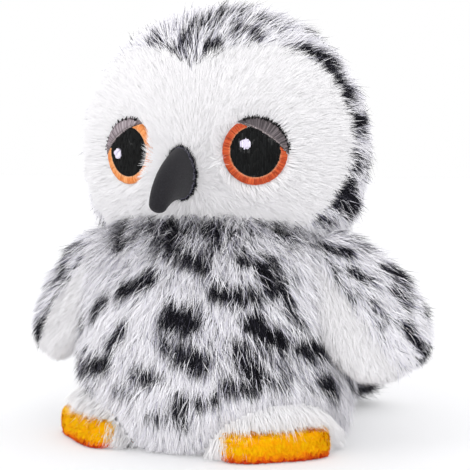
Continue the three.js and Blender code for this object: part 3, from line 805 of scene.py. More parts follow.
def crown_lie(points):
    """Away from the brow, and a little downwards."""
    return unit(points - BROW_POINT) + [0, 0, -0.1]


def nose_side(away):
    """From 0 to 1 for a direction away from the owl's right eye: 1 towards the nose, and a little less
    above it than below it."""
    return np.clip(away[:, 0] - 0.35 * away[:, 2], 0, 1)


def face_lie(points):
    """Away from a point between the cheeks, and for 3.5 mm round an eye also away from that eye, least
    on the nose's side of the owl's right one."""
    over, away = eye_distance(points)
    near = np.where(points[:, 0] > 0, 1.2, 0.9 - 0.35 * nose_side(away)) * np.clip(1 - over / 3.5, 0, 1)
    return unit(points - CHEEK_POINT) + near[:, None] * away + [0, 0, -0.3]


def body_lie(points):
    """Downwards, and a little outwards at the sides."""
    return np.stack([points[:, 0] / 90, 0 * points[:, 0], -np.ones(len(points))], axis=1)


def wing_lie(side):
    """Along the wing, fanned out a little from its middle line."""
    origin, (along, across, _) = wing_frame(side)
    return lambda points: along + 0.03 * ((points - origin) @ across)[:, None] * across


def tail_lie(points):
    """Backwards, fanned out to the sides and a little downwards."""
    return np.stack([points[:, 0] / 45, np.ones(len(points)), np.full(len(points), -0.2)], axis=1)


print("body's lie at its side:", np.round(body_lie(np.array([[30.0, 0, 20]]))[0], 2))

# %% [markdown]
# ## Where the strokes are
#
# Each row is a stroke: its two ends, its half width and its strength, in mm on the middle of the pile.
# The haze rows are wide and weak, and only darken the pile between the patches.

# %% Strokes on the front
HEAD_STROKES = [
    (-12.4, -14.4, 96.6, -7.5, -19.7, 91.7, 0.6, 0.7),
    (-12.0, -14.1, 97.4, -10.8, -18.1, 93.3, 0.6, 0.6),
    (-5.7, -19.8, 92.7, -2.1, -22.2, 89.5, 0.7, 0.7),
    (-4.3, -18.2, 93.9, -0.8, -21.7, 90.2, 0.6, 0.6),
    (-2.0, -18.0, 94.9, -0.6, -14.8, 97.9, 1.0, 0.8),
    (-0.6, -14.8, 97.9, 3.3, -14.6, 99.3, 1.0, 0.85),
    (3.3, -14.6, 99.3, 4.8, -11.9, 100.2, 0.7, 0.8),
    (0.4, -20.5, 92.2, 1.7, -18.4, 95.3, 1.0, 0.6),
    (3.8, -18.2, 95.1, 6.0, -20.1, 91.7, 0.6, 0.5),
    (5.9, -19.3, 92.8, 7.6, -20.1, 90.5, 1.1, 1.0),
    (4.2, -21.6, 89.0, 3.5, -21.0, 87.3, 1.0, 0.5),
    (1.3, -21.9, 90.2, 3.4, -22.5, 88.7, 1.7, 0.4),
    (4.5, -9.7, 101.7, 8.9, -7.0, 102.2, 0.7, 0.9),
    (8.9, -12.3, 97.9, 15.4, -13.9, 94.2, 0.8, 0.8),
    (10.1, -16.1, 94.9, 12.3, -13.4, 96.2, 0.7, 0.6),
    (12.8, -8.0, 99.7, 19.3, -4.5, 97.8, 0.7, 0.8),
    (22.4, -10.4, 91.1, 25.6, -7.4, 90.5, 1.0, 1.0),
    (25.6, -7.4, 90.5, 29.0, -2.1, 88.4, 1.2, 1.0),
    (27.5, -7.0, 88.1, 30.6, -4.0, 85.5, 1.1, 0.8),
    (30.6, -4.0, 85.5, 33.6, -2.3, 81.1, 1.2, 1.0),
    (31.0, -5.6, 83.6, 33.2, -4.2, 78.0, 1.0, 0.8),
    (31.2, -5.9, 80.8, 32.7, -5.5, 77.6, 0.9, 0.7),
    (33.3, -5.8, 74.0, 33.8, 5.9, 74.7, 1.1, 1.0),
    (34.0, -4.9, 71.7, 34.9, 2.6, 71.6, 0.8, 0.8),
    (33.2, -6.1, 67.4, 34.5, -2.8, 64.7, 1.2, 1.0),
    (34.6, -3.5, 66.0, 34.8, 1.6, 64.6, 0.7, 0.7),
    (32.4, -7.6, 61.5, 33.1, -6.1, 59.9, 1.1, 1.0),
    (31.6, -8.6, 57.7, 32.5, 1.6, 53.7, 1.5, 1.0),
    (29.0, -10.9, 55.2, 30.7, -8.8, 54.7, 0.8, 0.6),
    (32.9, -7.1, 60.8, 33.3, -0.9, 56.6, 1.1, 1.0),
    (28.0, -10.5, 51.8, 29.9, -5.7, 50.9, 0.7, 0.8),
    (33.6, -5.7, 69.2, 34.4, -4.6, 69.2, 0.7, 0.6),
    (20.6, 1.3, 95.6, 22.8, 1.4, 93.9, 0.8, 0.3),
]
BODY_STROKES = [
    (-15.9, -22.8, 50.3, -15.9, -26.7, 45.2, 1.7, 1.0),
    (-1.5, -27.0, 50.2, 1.7, -30.8, 43.8, 1.9, 1.0),
    (2.1, -30.8, 43.8, 8.2, -31.2, 41.4, 1.6, 0.9),
    (7.2, -26.4, 50.1, 10.6, -28.1, 46.6, 1.9, 0.9),
    (16.7, -27.2, 43.2, 21.0, -25.5, 41.4, 1.5, 0.8),
    (21.0, -25.5, 41.4, 23.9, -25.0, 36.0, 1.7, 1.0),
    (11.9, -31.9, 35.7, 20.7, -28.2, 34.3, 1.6, 1.0),
    (-4.0, -32.5, 38.6, -11.9, -32.1, 34.8, 1.5, 1.0),
    (-17.4, -30.2, 33.4, -22.4, -28.0, 28.5, 1.3, 0.9),
    (2.2, -34.4, 30.3, 7.2, -34.2, 29.2, 2.4, 1.0),
    (-11.4, -33.4, 26.6, -15.2, -32.7, 21.8, 1.4, 0.9),
    (20.3, -29.4, 28.7, 25.4, -25.7, 25.2, 2.1, 1.0),
    (4.4, -35.0, 22.5, 9.7, -34.4, 20.0, 2.1, 1.0),
    (0.4, -35.2, 24.1, 3.2, -35.0, 23.1, 1.5, 0.7),
    (-25.7, -25.9, 15.5, -15.1, -32.9, 18.4, 1.6, 0.9),
    (-6.8, -35.0, 16.6, -1.5, -35.4, 16.2, 1.6, 0.9),
    (28.7, -22.1, 22.5, 32.0, -15.8, 21.6, 1.4, 1.0),
    (17.8, -31.3, 22.9, 21.7, -29.4, 17.9, 1.9, 0.9),
    (26.1, -24.0, 32.5, 28.6, -21.4, 29.0, 1.1, 0.8),
    (15.2, -32.8, 14.9, 20.6, -30.0, 14.8, 1.5, 0.9),
    (22.4, -28.8, 15.9, 27.1, -24.6, 15.7, 1.2, 0.8),
    (4.4, -35.0, 11.7, 4.9, -34.5, 7.9, 1.5, 0.9),
    (8.4, -34.6, 11.3, 13.0, -33.4, 12.4, 1.3, 0.8),
    (31.7, -16.8, 16.1, 33.1, -11.5, 11.6, 1.8, 0.9),
    (-3.1, -34.5, 7.4, 1.5, -34.7, 7.4, 1.1, 0.7),
    (-26.3, -15.7, 46.7, -27.8, -16.9, 42.4, 1.5, 0.6),
    (-8.6, -26.2, 49.9, -4.0, -30.5, 44.0, 1.6, 0.6),
    (4.8, -27.1, 49.7, 5.6, -30.3, 44.3, 1.5, 0.6),
    (12.6, -26.0, 48.7, 14.5, -27.5, 45.1, 1.4, 0.6),
    (14.0, -23.2, 51.0, 15.4, -23.6, 49.7, 0.9, 0.5),
    (23.9, -27.3, 22.7, 26.7, -25.0, 18.8, 1.5, 0.6),
    (-1.0, -34.9, 27.0, 1.8, -35.0, 24.8, 1.5, 0.6),
    (30.9, -18.8, 18.8, 32.6, -14.2, 16.2, 1.1, 0.6),
    (13.1, -33.4, 20.5, 15.6, -32.7, 17.5, 1.1, 0.4),
    (6.6, -34.0, 30.5, 9.9, -33.9, 26.5, 1.2, 0.5),
    (-12.5, -33.6, 12.8, -8.2, -34.7, 12.4, 0.8, 0.7),
    (-25.9, -25.5, 11.9, -20.7, -29.8, 11.4, 0.7, 0.5),
    (20.3, -29.9, 24.0, 23.9, -27.3, 23.6, 1.1, 0.6),
    (24.2, -21.7, 43.0, 27.1, -20.6, 38.2, 0.9, 0.5),
    (-25.7, -25.8, 20.0, -21.6, -29.5, 18.5, 0.8, 0.5),
    (10.3, -33.1, 31.9, 12.7, -32.6, 30.6, 0.7, 0.3),
    (22.3, -24.3, 43.2, 24.3, -23.4, 38.1, 1.0, 0.9),
    (24.3, -23.4, 38.1, 27.3, -22.6, 32.4, 1.0, 0.9),
    (26.8, -23.2, 31.1, 29.0, -20.6, 27.9, 0.8, 0.7),
    (27.6, -22.7, 23.9, 32.2, -14.7, 22.5, 1.2, 1.0),
    (32.9, -13.9, 21.4, 33.8, -5.3, 15.8, 1.2, 0.95),
    (33.8, -5.3, 15.8, 34.1, -1.1, 11.4, 1.2, 0.9),
    (30.7, -18.1, 18.7, 32.2, -14.1, 14.3, 1.2, 0.45),
    (25.9, -25.4, 26.4, 27.8, -21.8, 19.5, 1.4, 0.45),
    (28.2, -22.7, 17.6, 30.6, -19.2, 13.7, 1.4, 0.4),
]
LEFT_WING_STROKES = [
    (28.7, -8.4, 49.4, 29.2, -9.3, 48.6, 1.3, 1.0),
    (29.2, -7.3, 49.8, 32.7, -5.4, 48.9, 0.6, 0.6),
    (29.4, -13.1, 45.9, 35.9, -10.5, 44.2, 0.9, 0.9),
    (37.4, -11.7, 39.9, 41.7, -10.3, 38.3, 0.8, 0.9),
    (43.3, -5.7, 40.7, 46.6, -3.1, 38.7, 0.8, 0.9),
    (45.4, -6.5, 35.5, 48.8, -6.0, 32.2, 0.8, 0.75),
    (48.8, -8.2, 28.2, 51.1, -6.6, 23.4, 0.85, 0.95),
    (42.9, -11.8, 32.5, 44.8, -10.8, 29.5, 0.8, 0.6),
    (33.6, -14.1, 39.4, 38.3, -14.4, 32.2, 1.0, 0.5),
    (39.0, -12.6, 36.7, 42.1, -12.1, 32.5, 1.2, 0.35),
    (31.8, -13.4, 42.5, 35.2, -12.8, 39.8, 1.0, 0.4),
    (46.0, -5.8, 37.6, 48.7, -3.9, 34.8, 0.7, 0.6),
    (43.3, -13.0, 29.1, 47.2, -11.4, 24.7, 1.4, 0.25),
    (36.6, -6.4, 46.1, 40.1, -3.3, 44.4, 0.6, 0.5),
]
RIGHT_WING_STROKES = [
    (-42.8, -5.6, 40.8, -41.0, -10.5, 37.2, 1.3, 1.0),
    (-42.0, -5.5, 41.9, -35.2, -9.8, 44.1, 1.0, 0.9),
    (-42.2, -10.9, 34.9, -36.8, -12.9, 36.9, 1.0, 0.8),
    (-49.2, -5.1, 32.6, -42.8, -11.4, 33.2, 0.7, 0.5),
    (-34.4, -12.2, 40.6, -36.3, -12.8, 37.6, 0.8, 0.8),
    (-45.7, -12.9, 23.1, -48.7, -10.3, 18.5, 1.3, 1.0),
    (-44.0, -13.3, 25.8, -46.3, -12.6, 22.3, 0.8, 0.8),
    (-39.8, -13.4, 32.3, -42.6, -13.6, 27.9, 0.8, 0.5),
    (-49.5, -7.5, 28.9, -44.7, -11.1, 30.8, 0.7, 0.5),
    (-38.1, -13.2, 34.8, -40.6, -13.5, 31.0, 0.6, 0.5),
    (-47.7, -11.3, 24.6, -45.4, -13.0, 23.7, 0.6, 0.5),
]
NECK_STROKES = [
    (-15.8, -24.8, 51.1, -14.6, -28.6, 45.2, 1.2, 1.0),
    (-11.9, -27.6, 50.5, -10.8, -30.1, 46.4, 1.4, 0.5),
    (-6.0, -27.6, 51.9, -2.4, -31.2, 46.1, 1.0, 0.85),
    (-1.0, -27.8, 52.4, 0.9, -29.7, 49.1, 1.2, 1.0),
    (0.9, -29.7, 49.1, 0.4, -31.8, 44.1, 1.4, 1.0),
    (-0.3, -30.8, 47.1, 2.9, -31.7, 43.0, 1.2, 0.9),
    (3.0, -28.4, 50.8, 7.3, -31.7, 41.6, 1.7, 0.5),
    (10.8, -27.3, 50.9, 11.4, -28.2, 49.7, 1.2, 0.7),
    (11.4, -28.2, 49.7, 9.7, -31.3, 43.2, 1.2, 0.8),
    (13.7, -27.7, 49.4, 14.5, -28.1, 47.4, 1.0, 0.7),
    (-8.2, -28.0, 50.7, -6.1, -30.5, 46.5, 1.0, 0.35),
    (6.8, -27.5, 51.1, 8.9, -30.9, 46.3, 1.4, 0.45),
    (-20.1, -23.2, 49.3, -18.5, -26.9, 44.9, 1.0, 0.6),
    (21.4, -20.2, 50.8, 26.0, -17.5, 47.7, 1.2, 1.0),
    (19.8, -21.4, 51.8, 23.0, -19.1, 51.2, 1.0, 0.8),
    (26.0, -17.5, 47.7, 29.3, -13.0, 46.4, 1.0, 0.7),
    (18.9, -24.0, 49.9, 22.6, -21.2, 48.6, 1.0, 0.5),
    (26.0, -17.0, 51.5, 36.0, -13.0, 45.0, 2.0, 0.85),
    (-22.0, -25.0, 49.0, 12.0, -31.0, 49.0, 4.0, 0.3),
    (-14.0, -30.0, 42.0, 12.0, -33.0, 40.0, 6.0, 0.22),
    (8.0, -34.0, 30.0, 22.0, -30.0, 20.0, 7.0, 0.25),
]
CROWN_HAZE = [
    (-8.0, -18.0, 94.5, 14.0, -10.0, 98.0, 6.0, 0.22),
    (-2.0, -22.0, 91.0, 2.0, -23.0, 88.0, 3.0, 0.25),
    (27.0, -7.0, 89.0, 36.0, -4.0, 74.0, 4.5, 0.35),
    (36.0, -4.0, 70.0, 33.0, -2.0, 54.0, 4.5, 0.35),
]
WING_HAZE = [
    (34.0, -11.0, 43.0, 46.0, -8.0, 27.0, 5.0, 0.18),
    (-36.0, -9.0, 43.0, -46.0, -9.0, 28.0, 5.0, 0.3),
]
TAIL_STROKES = [(17.0, 32.0, 8.0, 32.0, 44.0, 3.0, 6.0, 1.0)]
by_hand = HEAD_STROKES + BODY_STROKES + LEFT_WING_STROKES + RIGHT_WING_STROKES + NECK_STROKES
print("strokes placed by hand:", len(by_hand))

# %% [markdown]
# ## Sewing the panels
#
# Every panel is made the same way: its skin is the part of a form's grid that belongs to it, its roots
# are spread over the same part, and its strokes tell which strands are dark. A strand's tone is read
# where its outer part ends up, since that is what shows.


# %% A panel from its parts
SIDES = ((1, "left"), (-1, "right"))  # the sign of x on each of the owl's sides, and the side's name


def panel(name, nodes, body, slot, grid, belongs, lie, dense, seed, grows=None, strokes=(), flat_tone=None,
          fill=0.85, **shape):
    """One padded panel. Belongs picks its skin, and its roots too, unless grows picks those. Both take
    points, and so may each value that shapes a strand, such as its length in mm or its rise in degrees.
    Dense is the number of roots in a square millimetre."""
    cloth = skin(grid, belongs)
    roots, normals = scatter(grid, dense, seed)
    chosen = (grows or belongs)(roots)
    roots, normals = roots[chosen], normals[chosen]
    shape = {key: value(roots) if callable(value) else value for key, value in shape.items()}
    pile = strands(roots, normals, lie(roots), seed=seed, **shape)
    outer = 0.35 * pile[0][:, 2] + 0.65 * pile[0][:, 4]
    if flat_tone is None:
        tones = (dyed(cloth[0], strokes, seed) * 0.6, dyed(outer, strokes, seed))
    else:
        tones = (flat_tone(cloth[0]), flat_tone(outer))
    made = plush(name, cloth, pile, PILES[slot], tones)
    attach(made, body)
    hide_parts(*nodes)


def whitish(points):
    """Tones of white pile: nearly nothing, with a little more for some strands."""
    return 0.16 * np.random.default_rng(5).random(len(points)) ** 2


print("white tone, mean:", round(float(whitish(np.zeros((100, 3))).mean()), 3))

# %% [markdown]
# ## White pile and pressed pile
#
# The white pile of the face, the wings' linings and the tail's under side is fine and even, and the legs'
# is shaggier. Where a wing rests on the body, the pile of both is pressed short, and so is the tail's
# where its root is sewn to the body, so that they lie close together and no bare cloth shows when a wing
# is lifted.

# %% White pile and pressed pile
WHITE = {"width": 0.115, "pull": 0.1, "swing": 7, "stray": 9, "droop": 20, "soft": 0.97, "roll": 20,
         "flat_tone": whitish}
WHITE_SHAGGY = {"width": 0.13, "pull": 0.35, "swing": 18, "stray": 14, "droop": 25, "soft": 0.8, "roll": 40,
                "flat_tone": whitish}
PRESSED = 0.4  # share of its length that pressed pile keeps


def clear_of_limbs(points):
    """True where no wing lies on the cloth."""
    return ~(inside_wing(points, 1, -1.5) | inside_wing(points, -1, -1.5))


def clear_of_torso(points):
    """True where a limb's cloth is outside the body and the head."""
    return ~inside_body(points, -2.5) & ~inside_head(points, -2.5)


def pressed(clear):
    """The share of its length that pile keeps: all of it where it is clear."""
    return np.where(clear, 1, PRESSED)


print("share kept under a wing:", PRESSED)

# %% [markdown]
# ## Face and crown
#
# The face's pile is short, dense and cottony. Round the owl's left eye it stands up, and by the right
# one it is brushed down away from the nose, so that the eye shows from the side. The crown's pile is long
# and lies back from the face's seam, so the seam itself is hidden under it.

# %% Face
# How far below the middle of the pile these skins lie, which is less than the cloth's own depth, so that
# none of the solids below shows between the strands.
FACE_ROOT, CROWN_ROOT, LEG_ROOT = WHITE_PILE - 0.7, SPOTTED_PILE - 1.4, WHITE_PILE - 1.2
crown_grid = head_grid(CROWN_ROOT)


def on_face(points):
    """True inside the face's seam, as far as 1.5 mm under the eyes' edges."""
    return (past_seam(points) < 0) & (eye_distance(points)[0] > -1.5)


def face_roots(points):
    """True where the face's pile grows: up to the eyes, the beak and the body's plush."""
    open_there = (eye_distance(points)[0] > -0.1) & (beak_distance(points) > -0.6)
    return (past_seam(points) < 0.4) & open_there & ~inside_body(points, -SPOTTED_PILE)


def eye_rims(points):
    """From 1 at the edge of the owl's left eye to 0 at 3 mm from it. At the right eye it starts from 0.15
    on the nose's side, and elsewhere from -0.45, where the pile is pressed down instead of raised."""
    over, away = eye_distance(points)
    right = -0.45 + 0.6 * nose_side(away)
    return np.clip(1 - over / 3.0, 0, 1) ** 0.7 * np.where(points[:, 0] > 0, 1, right)


def face_length(points):
    """3.4 mm, up to 0.6 more round the raised eye and at the chin, and up to 0.7 less by the other eye,
    away from the nose."""
    raised, lowered = np.clip(eye_rims(points), 0, 1), np.clip(-eye_rims(points), 0, 1)
    return 3.4 + 0.6 * np.maximum(raised, np.clip((52 - points[:, 2]) / 6, 0, 1)) - 1.5 * lowered


def face_rise(points):
    """42 degrees, up to 72 at the edge of the raised eye and down to 33 by the other, away from the
    nose."""
    raised, lowered = np.clip(eye_rims(points), 0, 1), np.clip(-eye_rims(points), 0, 1)
    return 42 + 30 * raised - 20 * lowered


panel("face_plush", ["face_panel"], "torso", "white_plush", head_grid(FACE_ROOT), on_face, face_lie, 25, 21,
      grows=face_roots, length=face_length, rise=face_rise, **WHITE)


# %% Crown
def crown_rise(points):
    """20 degrees, and 14 more at the face's seam."""
    return 20 + 14 * fade(past_seam(points), 4)


def crown_length(points):
    """7.4 mm, down to 5.4 at the face's seam, 1.2 more at the top, and pressed behind the wings."""
    top = np.clip((points[:, 2] - 88) / 8, 0, 1)
    full = 5.4 + 2.0 * np.clip(past_seam(points) / 6, 0, 1) + 1.2 * top
    return full * pressed(clear_of_limbs(points))


def on_crown(points, side):
    """True behind the face's seam, on one side of the seam over the crown."""
    return (past_seam(points) >= 0) & (side * turn_head(points, back=True)[:, 0] >= 0)


crown_strokes = wider(HEAD_STROKES, 1.75, 1.45) + CROWN_HAZE + spread_strokes(
    crown_grid, crown_lie, 8.5, 31, lambda p, n: (past_seam(p) > 4) & hidden(n) & (p[:, 2] > 46)
)
for side, side_name in SIDES:
    panel(f"crown_plush_{side_name}", [f"head_back_{side_name}"], "torso", "spotted_plush", crown_grid,
          lambda p: on_crown(p, side), crown_lie, 15, 22 + side,
          grows=lambda p: on_crown(p, side) & ~inside_body(p, -SPOTTED_PILE),
          strokes=crown_strokes, length=crown_length, rise=crown_rise)

# %% [markdown]
# ## Body and legs
#
# The body's pile hangs down over the leg panels' upper edges, where it is cut shorter, and its lowest
# strands rest on the floor.

# %% Body
skin_grid = body_grid(SPOTTED_PILE)
SEAM_FORWARD = -4.0  # mm, where the side seams run from the base to the head


def above_legs(points):
    """How far a point is from the nearer leg panel, in mm, and negative on it."""
    return np.minimum(leg_distance(points, 1), leg_distance(points, -1))


def at_collar(points):
    """1 in the crease below the head, and falling off below it."""
    return fade(head_gap(points), 3.5)


def body_length(points):
    """7 mm, down to 2.7 at a leg panel's upper edge, 2.5 more in the crease below the head, and pressed
    behind the wings."""
    full = np.clip(2.7 + 0.7 * above_legs(points), 0, 7) + 2.5 * at_collar(points)
    return full * pressed(clear_of_limbs(points))


def body_rise(points):
    """33 degrees, steeper at a leg panel's upper edge, and leaning back up against the head in the
    crease, where the pile is pushed up."""
    return 33 + 80 * at_collar(points) + 18 * fade(above_legs(points), 4)


def body_droop(points):
    """25 degrees, and 65 more in the crease, so that the pile falls over again from there."""
    return 25 + 65 * at_collar(points)


def on_spotted_body(points, tuck=0):
    """True on the body's own cloth, which goes on for the tuck under the leg panels' edges."""
    return (above_legs(points) > -tuck) & ~inside_head(points, -1)


body_hidden = spread_strokes(
    skin_grid, body_lie, 9.0, 41,
    lambda p, n: hidden(n) & (p[:, 2] > 5) & ~inside_head(p, 2) & clear_of_limbs(p),
)
body_strokes = wider(BODY_STROKES, 1.1, 1.2) + NECK_STROKES + body_hidden
body_parts = {
    "body_front_plush": ("body_front", lambda p: p[:, 1] < SEAM_FORWARD),
    "body_back_plush_left": ("body_back_left", lambda p: (p[:, 1] >= SEAM_FORWARD) & (p[:, 0] >= 0)),
    "body_back_plush_right": ("body_back_right", lambda p: (p[:, 1] >= SEAM_FORWARD) & (p[:, 0] < 0)),
}
for seed, (name, (solid, part)) in enumerate(body_parts.items(), 51):
    panel(name, [solid], "torso", "spotted_plush", skin_grid,
          lambda p: on_spotted_body(p, 3) & part(p) & (p[:, 2] > 0.01), body_lie, 14, seed,
          grows=lambda p: on_spotted_body(p) & part(p) & ~inside_head(p, -SPOTTED_PILE) & (p[:, 2] > 0.3),
          strokes=body_strokes, length=body_length, rise=body_rise, droop=body_droop)

# %% Legs
for side, side_name in SIDES:
    panel(f"{side_name}_leg_plush", [f"{side_name}_leg_panel"], "torso", "white_plush", body_grid(LEG_ROOT),
          lambda p: (leg_distance(p, side) <= 0) & (p[:, 2] > 0.01), body_lie, 19, 60 + side,
          length=5.8, rise=56, **WHITE_SHAGGY)

# %% [markdown]
# ## Wings and tail
#
# A wing has a spotted outer side and a white lining with shorter pile. The tail is spotted above and
# white below.

# %% Wings
wing_strokes = {
    "left": wider(LEFT_WING_STROKES, 1.5, 1.2) + NECK_STROKES + WING_HAZE[:1],
    "right": wider(RIGHT_WING_STROKES, 1.4, 1.1) + NECK_STROKES + WING_HAZE[1:],
}


def wing_length(side, most, least):
    """Takes points to lengths in mm, from the most near the root to the least at the wing's end, and
    pressed where the wing rests against the torso."""
    origin, (along, _, _) = wing_frame(side)
    return lambda points: (
        (least + (most - least) * np.clip((38 - (points - origin) @ along) / 14, 0, 1))
        * pressed(clear_of_torso(points))
    )


for side, side_name in SIDES:
    grid = wing_grid(side, WHITE_PILE)
    body_name = f"{side_name}_wing"
    spread = spread_strokes(grid, wing_lie(side), 7.5, 70 + side,
                            lambda p, n: hidden(n) & (wing_outside(p, side) > 0))
    panel(f"{side_name}_wing_plush", [f"{side_name}_wing_outer"], body_name, "spotted_plush", grid,
          lambda p: wing_outside(p, side) > 0, wing_lie(side), 15, 73 + side,
          strokes=wing_strokes[side_name] + spread, length=wing_length(side, 6.4, 3.6), rise=32)
    panel(f"{side_name}_wing_lining_plush", [f"{side_name}_wing_lining"], body_name, "white_plush", grid,
          lambda p: wing_outside(p, side) <= 0, wing_lie(side), 19, 76 + side,
          length=wing_length(side, 3.8, 2.6), rise=44, **WHITE)

# %% Tail
grid = tail_grid(WHITE_PILE)
tail_hidden = spread_strokes(grid, tail_lie, 8.0, 81, lambda p, n: (n[:, 2] > 0) & (p[:, 1] > 26))


def on_tail_top(points):
    """True above the tail's side seam, which runs 2.4 mm below its middle and drops by 0.2 backwards."""
    return points[:, 2] - TAIL_HEIGHT + (points[:, 1] - TAIL_BACK) * 0.2 > -2.4


panel("tail_plush", ["tail_upper"], "tail", "spotted_plush", grid, on_tail_top, tail_lie, 13, 82,
      strokes=TAIL_STROKES + tail_hidden, length=lambda p: 8.4 * pressed(clear_of_torso(p)), rise=30)
panel("tail_under_plush", ["tail_under"], "tail", "white_plush", grid, lambda p: ~on_tail_top(p), tail_lie,
      14, 83, length=lambda p: 4.0 * pressed(clear_of_torso(p)), rise=35, **WHITE)

# %% [markdown]
# ## Feet
#
# The feet are flat pads of orange plush with a nap about a millimetre deep, stuffed just enough to
# round their edges. The nap is golden on top, and painted shade turns it red towards the sole.


# %% Feet
FOOT_PLACE, FOOT_TURN = (21.5, -22.5), math.radians(39)
FOOT_HALVES, FOOT_HEIGHT, FOOT_POWER = (8.5, 13), 7.6, 3.6
FOOT_ROOT = 0.9  # depth of the cloth below the middle of the nap


def foot_grid(side, inset=FOOT_ROOT, columns=96):
    """A pad: a flat sole, an edge whose half length and half width swell by a root of 1 - |1.7 s - 0.7|
    to the power p over its height s, and a top that closes in a shallow dome."""
    share = np.linspace(0, 1, 28)
    swell = np.clip(1 - np.abs(share * 1.7 - 0.7) ** FOOT_POWER, 0, None) ** 0.4
    shrink = np.maximum(swell, 0.25)
    length, width = (FOOT_HALVES[0] - inset) * shrink**0.5, (FOOT_HALVES[1] - inset) * shrink**0.25
    height = inset * 0.5 + share * (FOOT_HEIGHT - 1.5 * inset)
    inward = np.linspace(0, 1, 9)[:-1]
    length, width = (
        np.concatenate([size[0] * inward, size, size[-1] * inward[::-1]]) for size in (length, width)
    )
    dome = height[-1] + 0.3 * (1 - inward[::-1] ** 2)
    height = np.concatenate([np.full(8, height[0]), height, dome])
    turn = np.linspace(0, 2 * np.pi, columns)
    a, b = superellipse(turn[None], length[:, None], width[:, None], FOOT_POWER)
    heading = side * FOOT_TURN - math.pi / 2
    c, s = math.cos(heading), math.sin(heading)
    x, y = side * FOOT_PLACE[0] + c * a - s * b, FOOT_PLACE[1] + s * a + c * b
    return np.stack([x, y, np.broadcast_to(height[:, None], a.shape)], axis=-1)


def foot_tones_and_shade(points):
    """Golden on top, orange at the upper edges and red below. The orange and red are painted shade: under the
    fur at the upper edges, and on the sides and the sole, where less light reaches. About a third of the
    chance is a strand's own and the rest its lock's, so the nap is mottled."""
    chance = np.random.default_rng(9).random(len(points))
    _, shared = locks(points * [1, 1, 1.8], 1.1)
    mottle = 0.17 * (chance - 0.5) + 0.3 * (shared[:, 0] - 0.5)
    # Painted shade: the tone rises towards red down the pad's sides, at the sole and at its top under the
    # fur.
    side_shade, low = np.clip((6.0 - points[:, 2]) / 6.0, 0, 1), np.clip((2.4 - points[:, 2]) / 2.4, 0, 1)
    top = np.clip((points[:, 2] - 6.4) / 0.8, 0, 1)
    return np.clip(0.09 + 0.14 * top + 0.12 * side_shade + 0.75 * low**1.2 + mottle, 0.02, 0.98)


def foot_lie(points):
    """Forwards and down, and a little outwards."""
    ones = np.ones(len(points))
    return np.stack([0.2 * np.sign(points[:, 0]), -0.3 * ones, -0.6 * ones], axis=1)


def on_pad(points, side):
    """True on a foot's cloth: outside the body, or so deep under the leg's pile that it can't show."""
    return ~inside_body(points, -1.2) | (leg_distance(points, side) < -2.8)


for side, side_name in SIDES:
    panel(f"{side_name}_foot_plush", [f"{side_name}_foot_upper", f"{side_name}_foot_sole"],
          f"{side_name}_foot", "orange_plush", foot_grid(side),
          lambda p: on_pad(p, side), foot_lie, 30, 90 + side,
          grows=lambda p: ~inside_body(p, -0.5), flat_tone=foot_tones_and_shade, fill=0.7, length=1.1, rise=50,
          width=0.15, pull=0.3, swing=60, soft=0.95)

# %% [markdown]
# ## Beak
#
# The beak is wool felt, cut as a leaf, folded and lightly stuffed. Felt has no weave: its fibres are
# matted, so it is matte with a fine grain. The form follows a curve from the face to a blunt tip, with an
# ellipse across it that narrows on the way. Where it is sewn on, some of its fibres are drawn out and
# mix with the white pile.


# %% Beak's form
BEAK_CURVE = np.array([[0, -24.0, 63.0], [0, -35.3, 61.8], [0, -40.1, 56.0]]) + [BEAK_ASIDE, 0, 0]
BEAK_END = 2  # mm, half of its width and height at the tip


def beak_grid(rows=48, columns=64):
    """Ellipses across a quadratic curve. The half sizes shrink from the root by (1 - t) to the power
    0.8, and the tip closes in a quarter circle."""
    root, bend, tip = BEAK_CURVE
    t = np.linspace(0, 1, rows)[:, None]
    line = (1 - t) ** 2 * root + 2 * t * (1 - t) * bend + t**2 * tip
    ahead = unit(2 * (1 - t) * (bend - root) + 2 * t * (tip - bend))
    narrow = (1 - t[:, 0]) ** 0.8
    wide, high = BEAK_END + 1.4 * narrow, BEAK_END + 4.2 * narrow
    close = np.linspace(0, np.pi / 2, 9)[1:]
    line = np.concatenate([line, tip + ahead[-1] * 1.5 * np.sin(close)[:, None]])
    ahead = np.concatenate([ahead, np.repeat(ahead[-1:], 8, axis=0)])
    wide, high = (np.concatenate([size, BEAK_END * np.cos(close)]) for size in (wide, high))
    turn = np.linspace(0, 2 * np.pi, columns)
    a, b = superellipse(turn[None], wide[:, None], high[:, None], 2)
    up = np.cross(ahead, [1, 0, 0])
    up = up * np.sign(up[:, 2:3])
    points = line[:, None] + a[..., None] * [1, 0, 0] + b[..., None] * up[:, None]
    return turn_head(points)


beak_points, beak_triangles = skin(beak_grid())
print("beak's points:", len(beak_points))


# %% Felt and other grained materials
def patterned(tree, shader, pattern, colours, strength, depth, **surface):
    """Lets a pattern's value colour a surface through a ramp, and lift it by the same value. Strength is
    a share, and depth is in metres."""
    ramp = node(tree, "ShaderNodeValToRGB", Fac=pattern)
    bump = node(tree, "ShaderNodeBump", Height=pattern, Strength=strength, Distance=depth)
    feed(tree, shader, Base_Color=stops(ramp, colours), Normal=bump.outputs["Normal"], **surface)


def grained_material(name, colours, strength, depth, noise, **surface):
    """A matte surface whose pattern is a grain. A noise of scale 1 has about one grain in a metre."""
    material, tree, shader = new_material(name)
    place = node(tree, "ShaderNodeTexCoord")
    grain = node(tree, "ShaderNodeTexNoise", Vector=place.outputs["Object"], **noise)
    patterned(tree, shader, grain.outputs["Fac"], colours, strength, depth, **surface)
    return material


